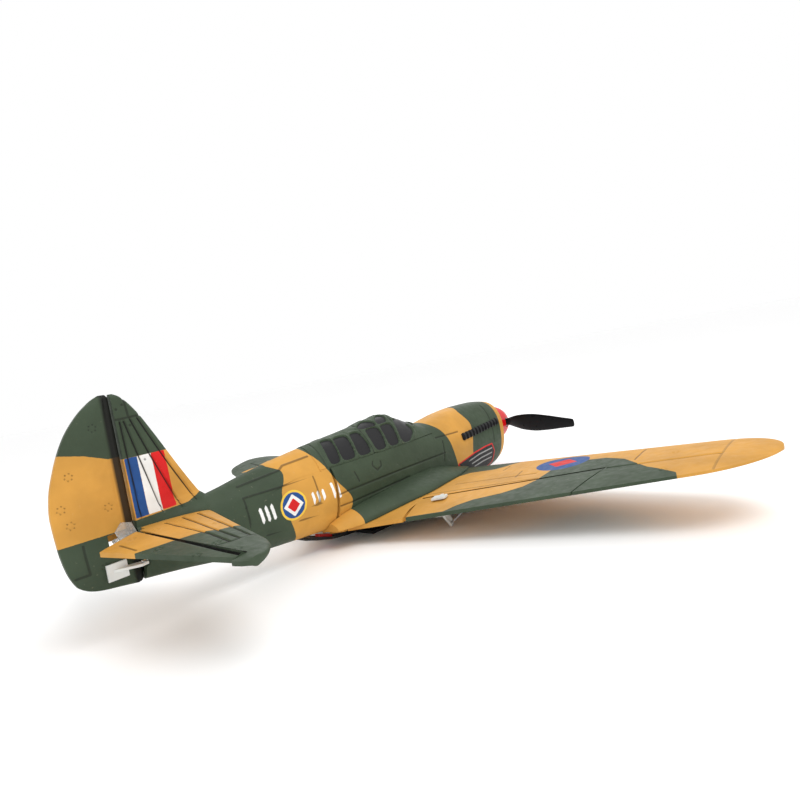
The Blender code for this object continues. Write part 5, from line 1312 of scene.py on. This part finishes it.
def make_propeller():
    hub = turned(PROPELLER_HUB, 64)
    item = joined("blades", [hub, blade(1), blade(-1)], gloss_black, 50)
    placed(item, "propeller_train", "propeller_black", "propeller")
    y = np.concatenate([np.linspace(SPINNER_SKIRT_Y, 16.0, 96), np.linspace(16.0, SPINNER_TIP_Y, 24)[1:]])
    radius = np.where(y < SPINNER_BASE_Y, SPINNER_RADIUS + 0.09 * (SPINNER_BASE_Y - y),
                      smooth(SPINNER_OUTLINE, 1, y))
    nose = 4.15 * np.sqrt(np.clip((SPINNER_TIP_Y - y) / 2.6, 0.0, 1.0)) ** 1.05 + 0.02
    radius = np.where(y > 15.8, nose, radius)
    turn = np.linspace(0.0, 2 * math.pi, 160, endpoint=False)
    rings = [np.stack([r * np.sin(turn), np.full(160, at), r * np.cos(turn)], -1) for at, r in zip(y, radius)]
    rings = [rings[0] * np.array((0.02, 1.0, 0.02)), rings[0] * np.array((0.985, 1.0, 0.985)), *rings]
    rings = np.array(rings)
    x, along, z = (rings[..., k] for k in range(3))
    lean = 0.22 * np.sign(x) * (along - 5.6)
    slot = np.minimum(np.minimum(3.4 - np.abs(z + lean), 9.6 - along), along - 1.2)
    slot = np.where(np.abs(x) > 3.0, slot, OUTSIDE)
    inward = rings * np.array((-1.0, 0.0, -1.0))
    inward /= np.maximum(np.linalg.norm(inward, axis=-1, keepdims=True), 1e-6)
    rings[2:] += (inward * (0.9 * ramp(slot, -0.1, 0.3))[..., None])[2:]
    rings = turned_to_rest(rings)
    cap = skin("spinner_shell", rings, spinner_paint(), {"slot": slot}, 60)
    placed(cap, "propeller_train", "spinner_red", "spinner")


def spinner_paint():
    n = Nodes("spinner_red")
    # the blade slots are painted black: painted shade of the openings around the blade roots
    slot = n.fit(n.field("slot"), 0.1, 0.3)
    colour = n.mix(slot, varied(n, (0.60, 0.006, 0.010), 0.05, 120.0), (0.01, 0.01, 0.01))
    rough = n.fit(n.noise(300.0), 0.3, 0.7, 0.13, 0.2)
    return n.done(colour, rough, n.bump(n.noise(1200.0), 0.015, 0.0001), Specular_IOR_Level=0.3)


# ---------------------------------------------------------------- studio


def make_stage():
    floor_paint = bpy.data.materials.new("floor")
    floor_paint.use_nodes = True
    shader = floor_paint.node_tree.nodes["Principled BSDF"]
    shader.inputs["Base Color"].default_value = (0.99, 0.99, 0.99, 1.0)
    shader.inputs["Roughness"].default_value = 0.8
    mesh = bpy.data.meshes.new("floor")
    corners = [(x * FLOOR_HALF, y * FLOOR_HALF, FLOOR_Z) for x, y in ((-1, -1), (1, -1), (1, 1), (-1, 1))]
    mesh.from_pydata(corners, [], [(0, 1, 2, 3)])
    mesh.materials.append(floor_paint)
    floor = bpy.data.objects.new("floor", mesh)
    bpy.context.collection.objects.link(floor)

    world = bpy.data.worlds.new("studio")
    world.use_nodes = True
    world.node_tree.nodes["Background"].inputs["Color"].default_value = (1.0, 1.0, 1.0, 1.0)
    world.node_tree.nodes["Background"].inputs["Strength"].default_value = 1.0
    bpy.context.scene.world = world
    bpy.context.scene.view_settings.view_transform = "Standard"


def add_light(name, position, target, size, power):
    lamp = bpy.data.lights.new(name, "AREA")
    lamp.size = size
    lamp.energy = power
    item = bpy.data.objects.new(name, lamp)
    item.location = position
    item.rotation_euler = (Vector(target) - Vector(position)).to_track_quat("-Z", "Y").to_euler()
    bpy.context.collection.objects.link(item)


def add_camera():
    azimuth, elevation, roll = map(math.radians, (CAMERA_AZIMUTH, CAMERA_ELEVATION, CAMERA_ROLL))
    back = Vector((math.sin(azimuth) * math.cos(elevation), -math.cos(azimuth) * math.cos(elevation),
                   math.sin(elevation)))
    right = (-back).cross(Vector((0, 0, 1))).normalized()
    up = right.cross(-back)
    across = math.cos(roll) * right + math.sin(roll) * up
    upward = -math.sin(roll) * right + math.cos(roll) * up
    lens = bpy.data.cameras.new("camera")
    lens.sensor_width, lens.lens = 36.0, CAMERA_LENS
    lens.clip_start = 0.005
    item = bpy.data.objects.new("camera", lens)
    matrix = Matrix((across, upward, back)).transposed().to_4x4()
    matrix.translation = Vector(CAMERA_PLACE)
    item.matrix_world = matrix
    bpy.context.collection.objects.link(item)
    bpy.context.scene.camera = item


def main():
    dress_carried_nodes()
    make_fuselage()
    make_canopy()
    make_exhausts()
    make_wings()
    make_fairings()
    make_ailerons()
    make_tailplane()
    make_elevators()
    make_fin()
    make_rudder()
    make_propeller()
    make_stage()
    for light in LIGHTS:
        add_light(*light)
    add_camera()


main()
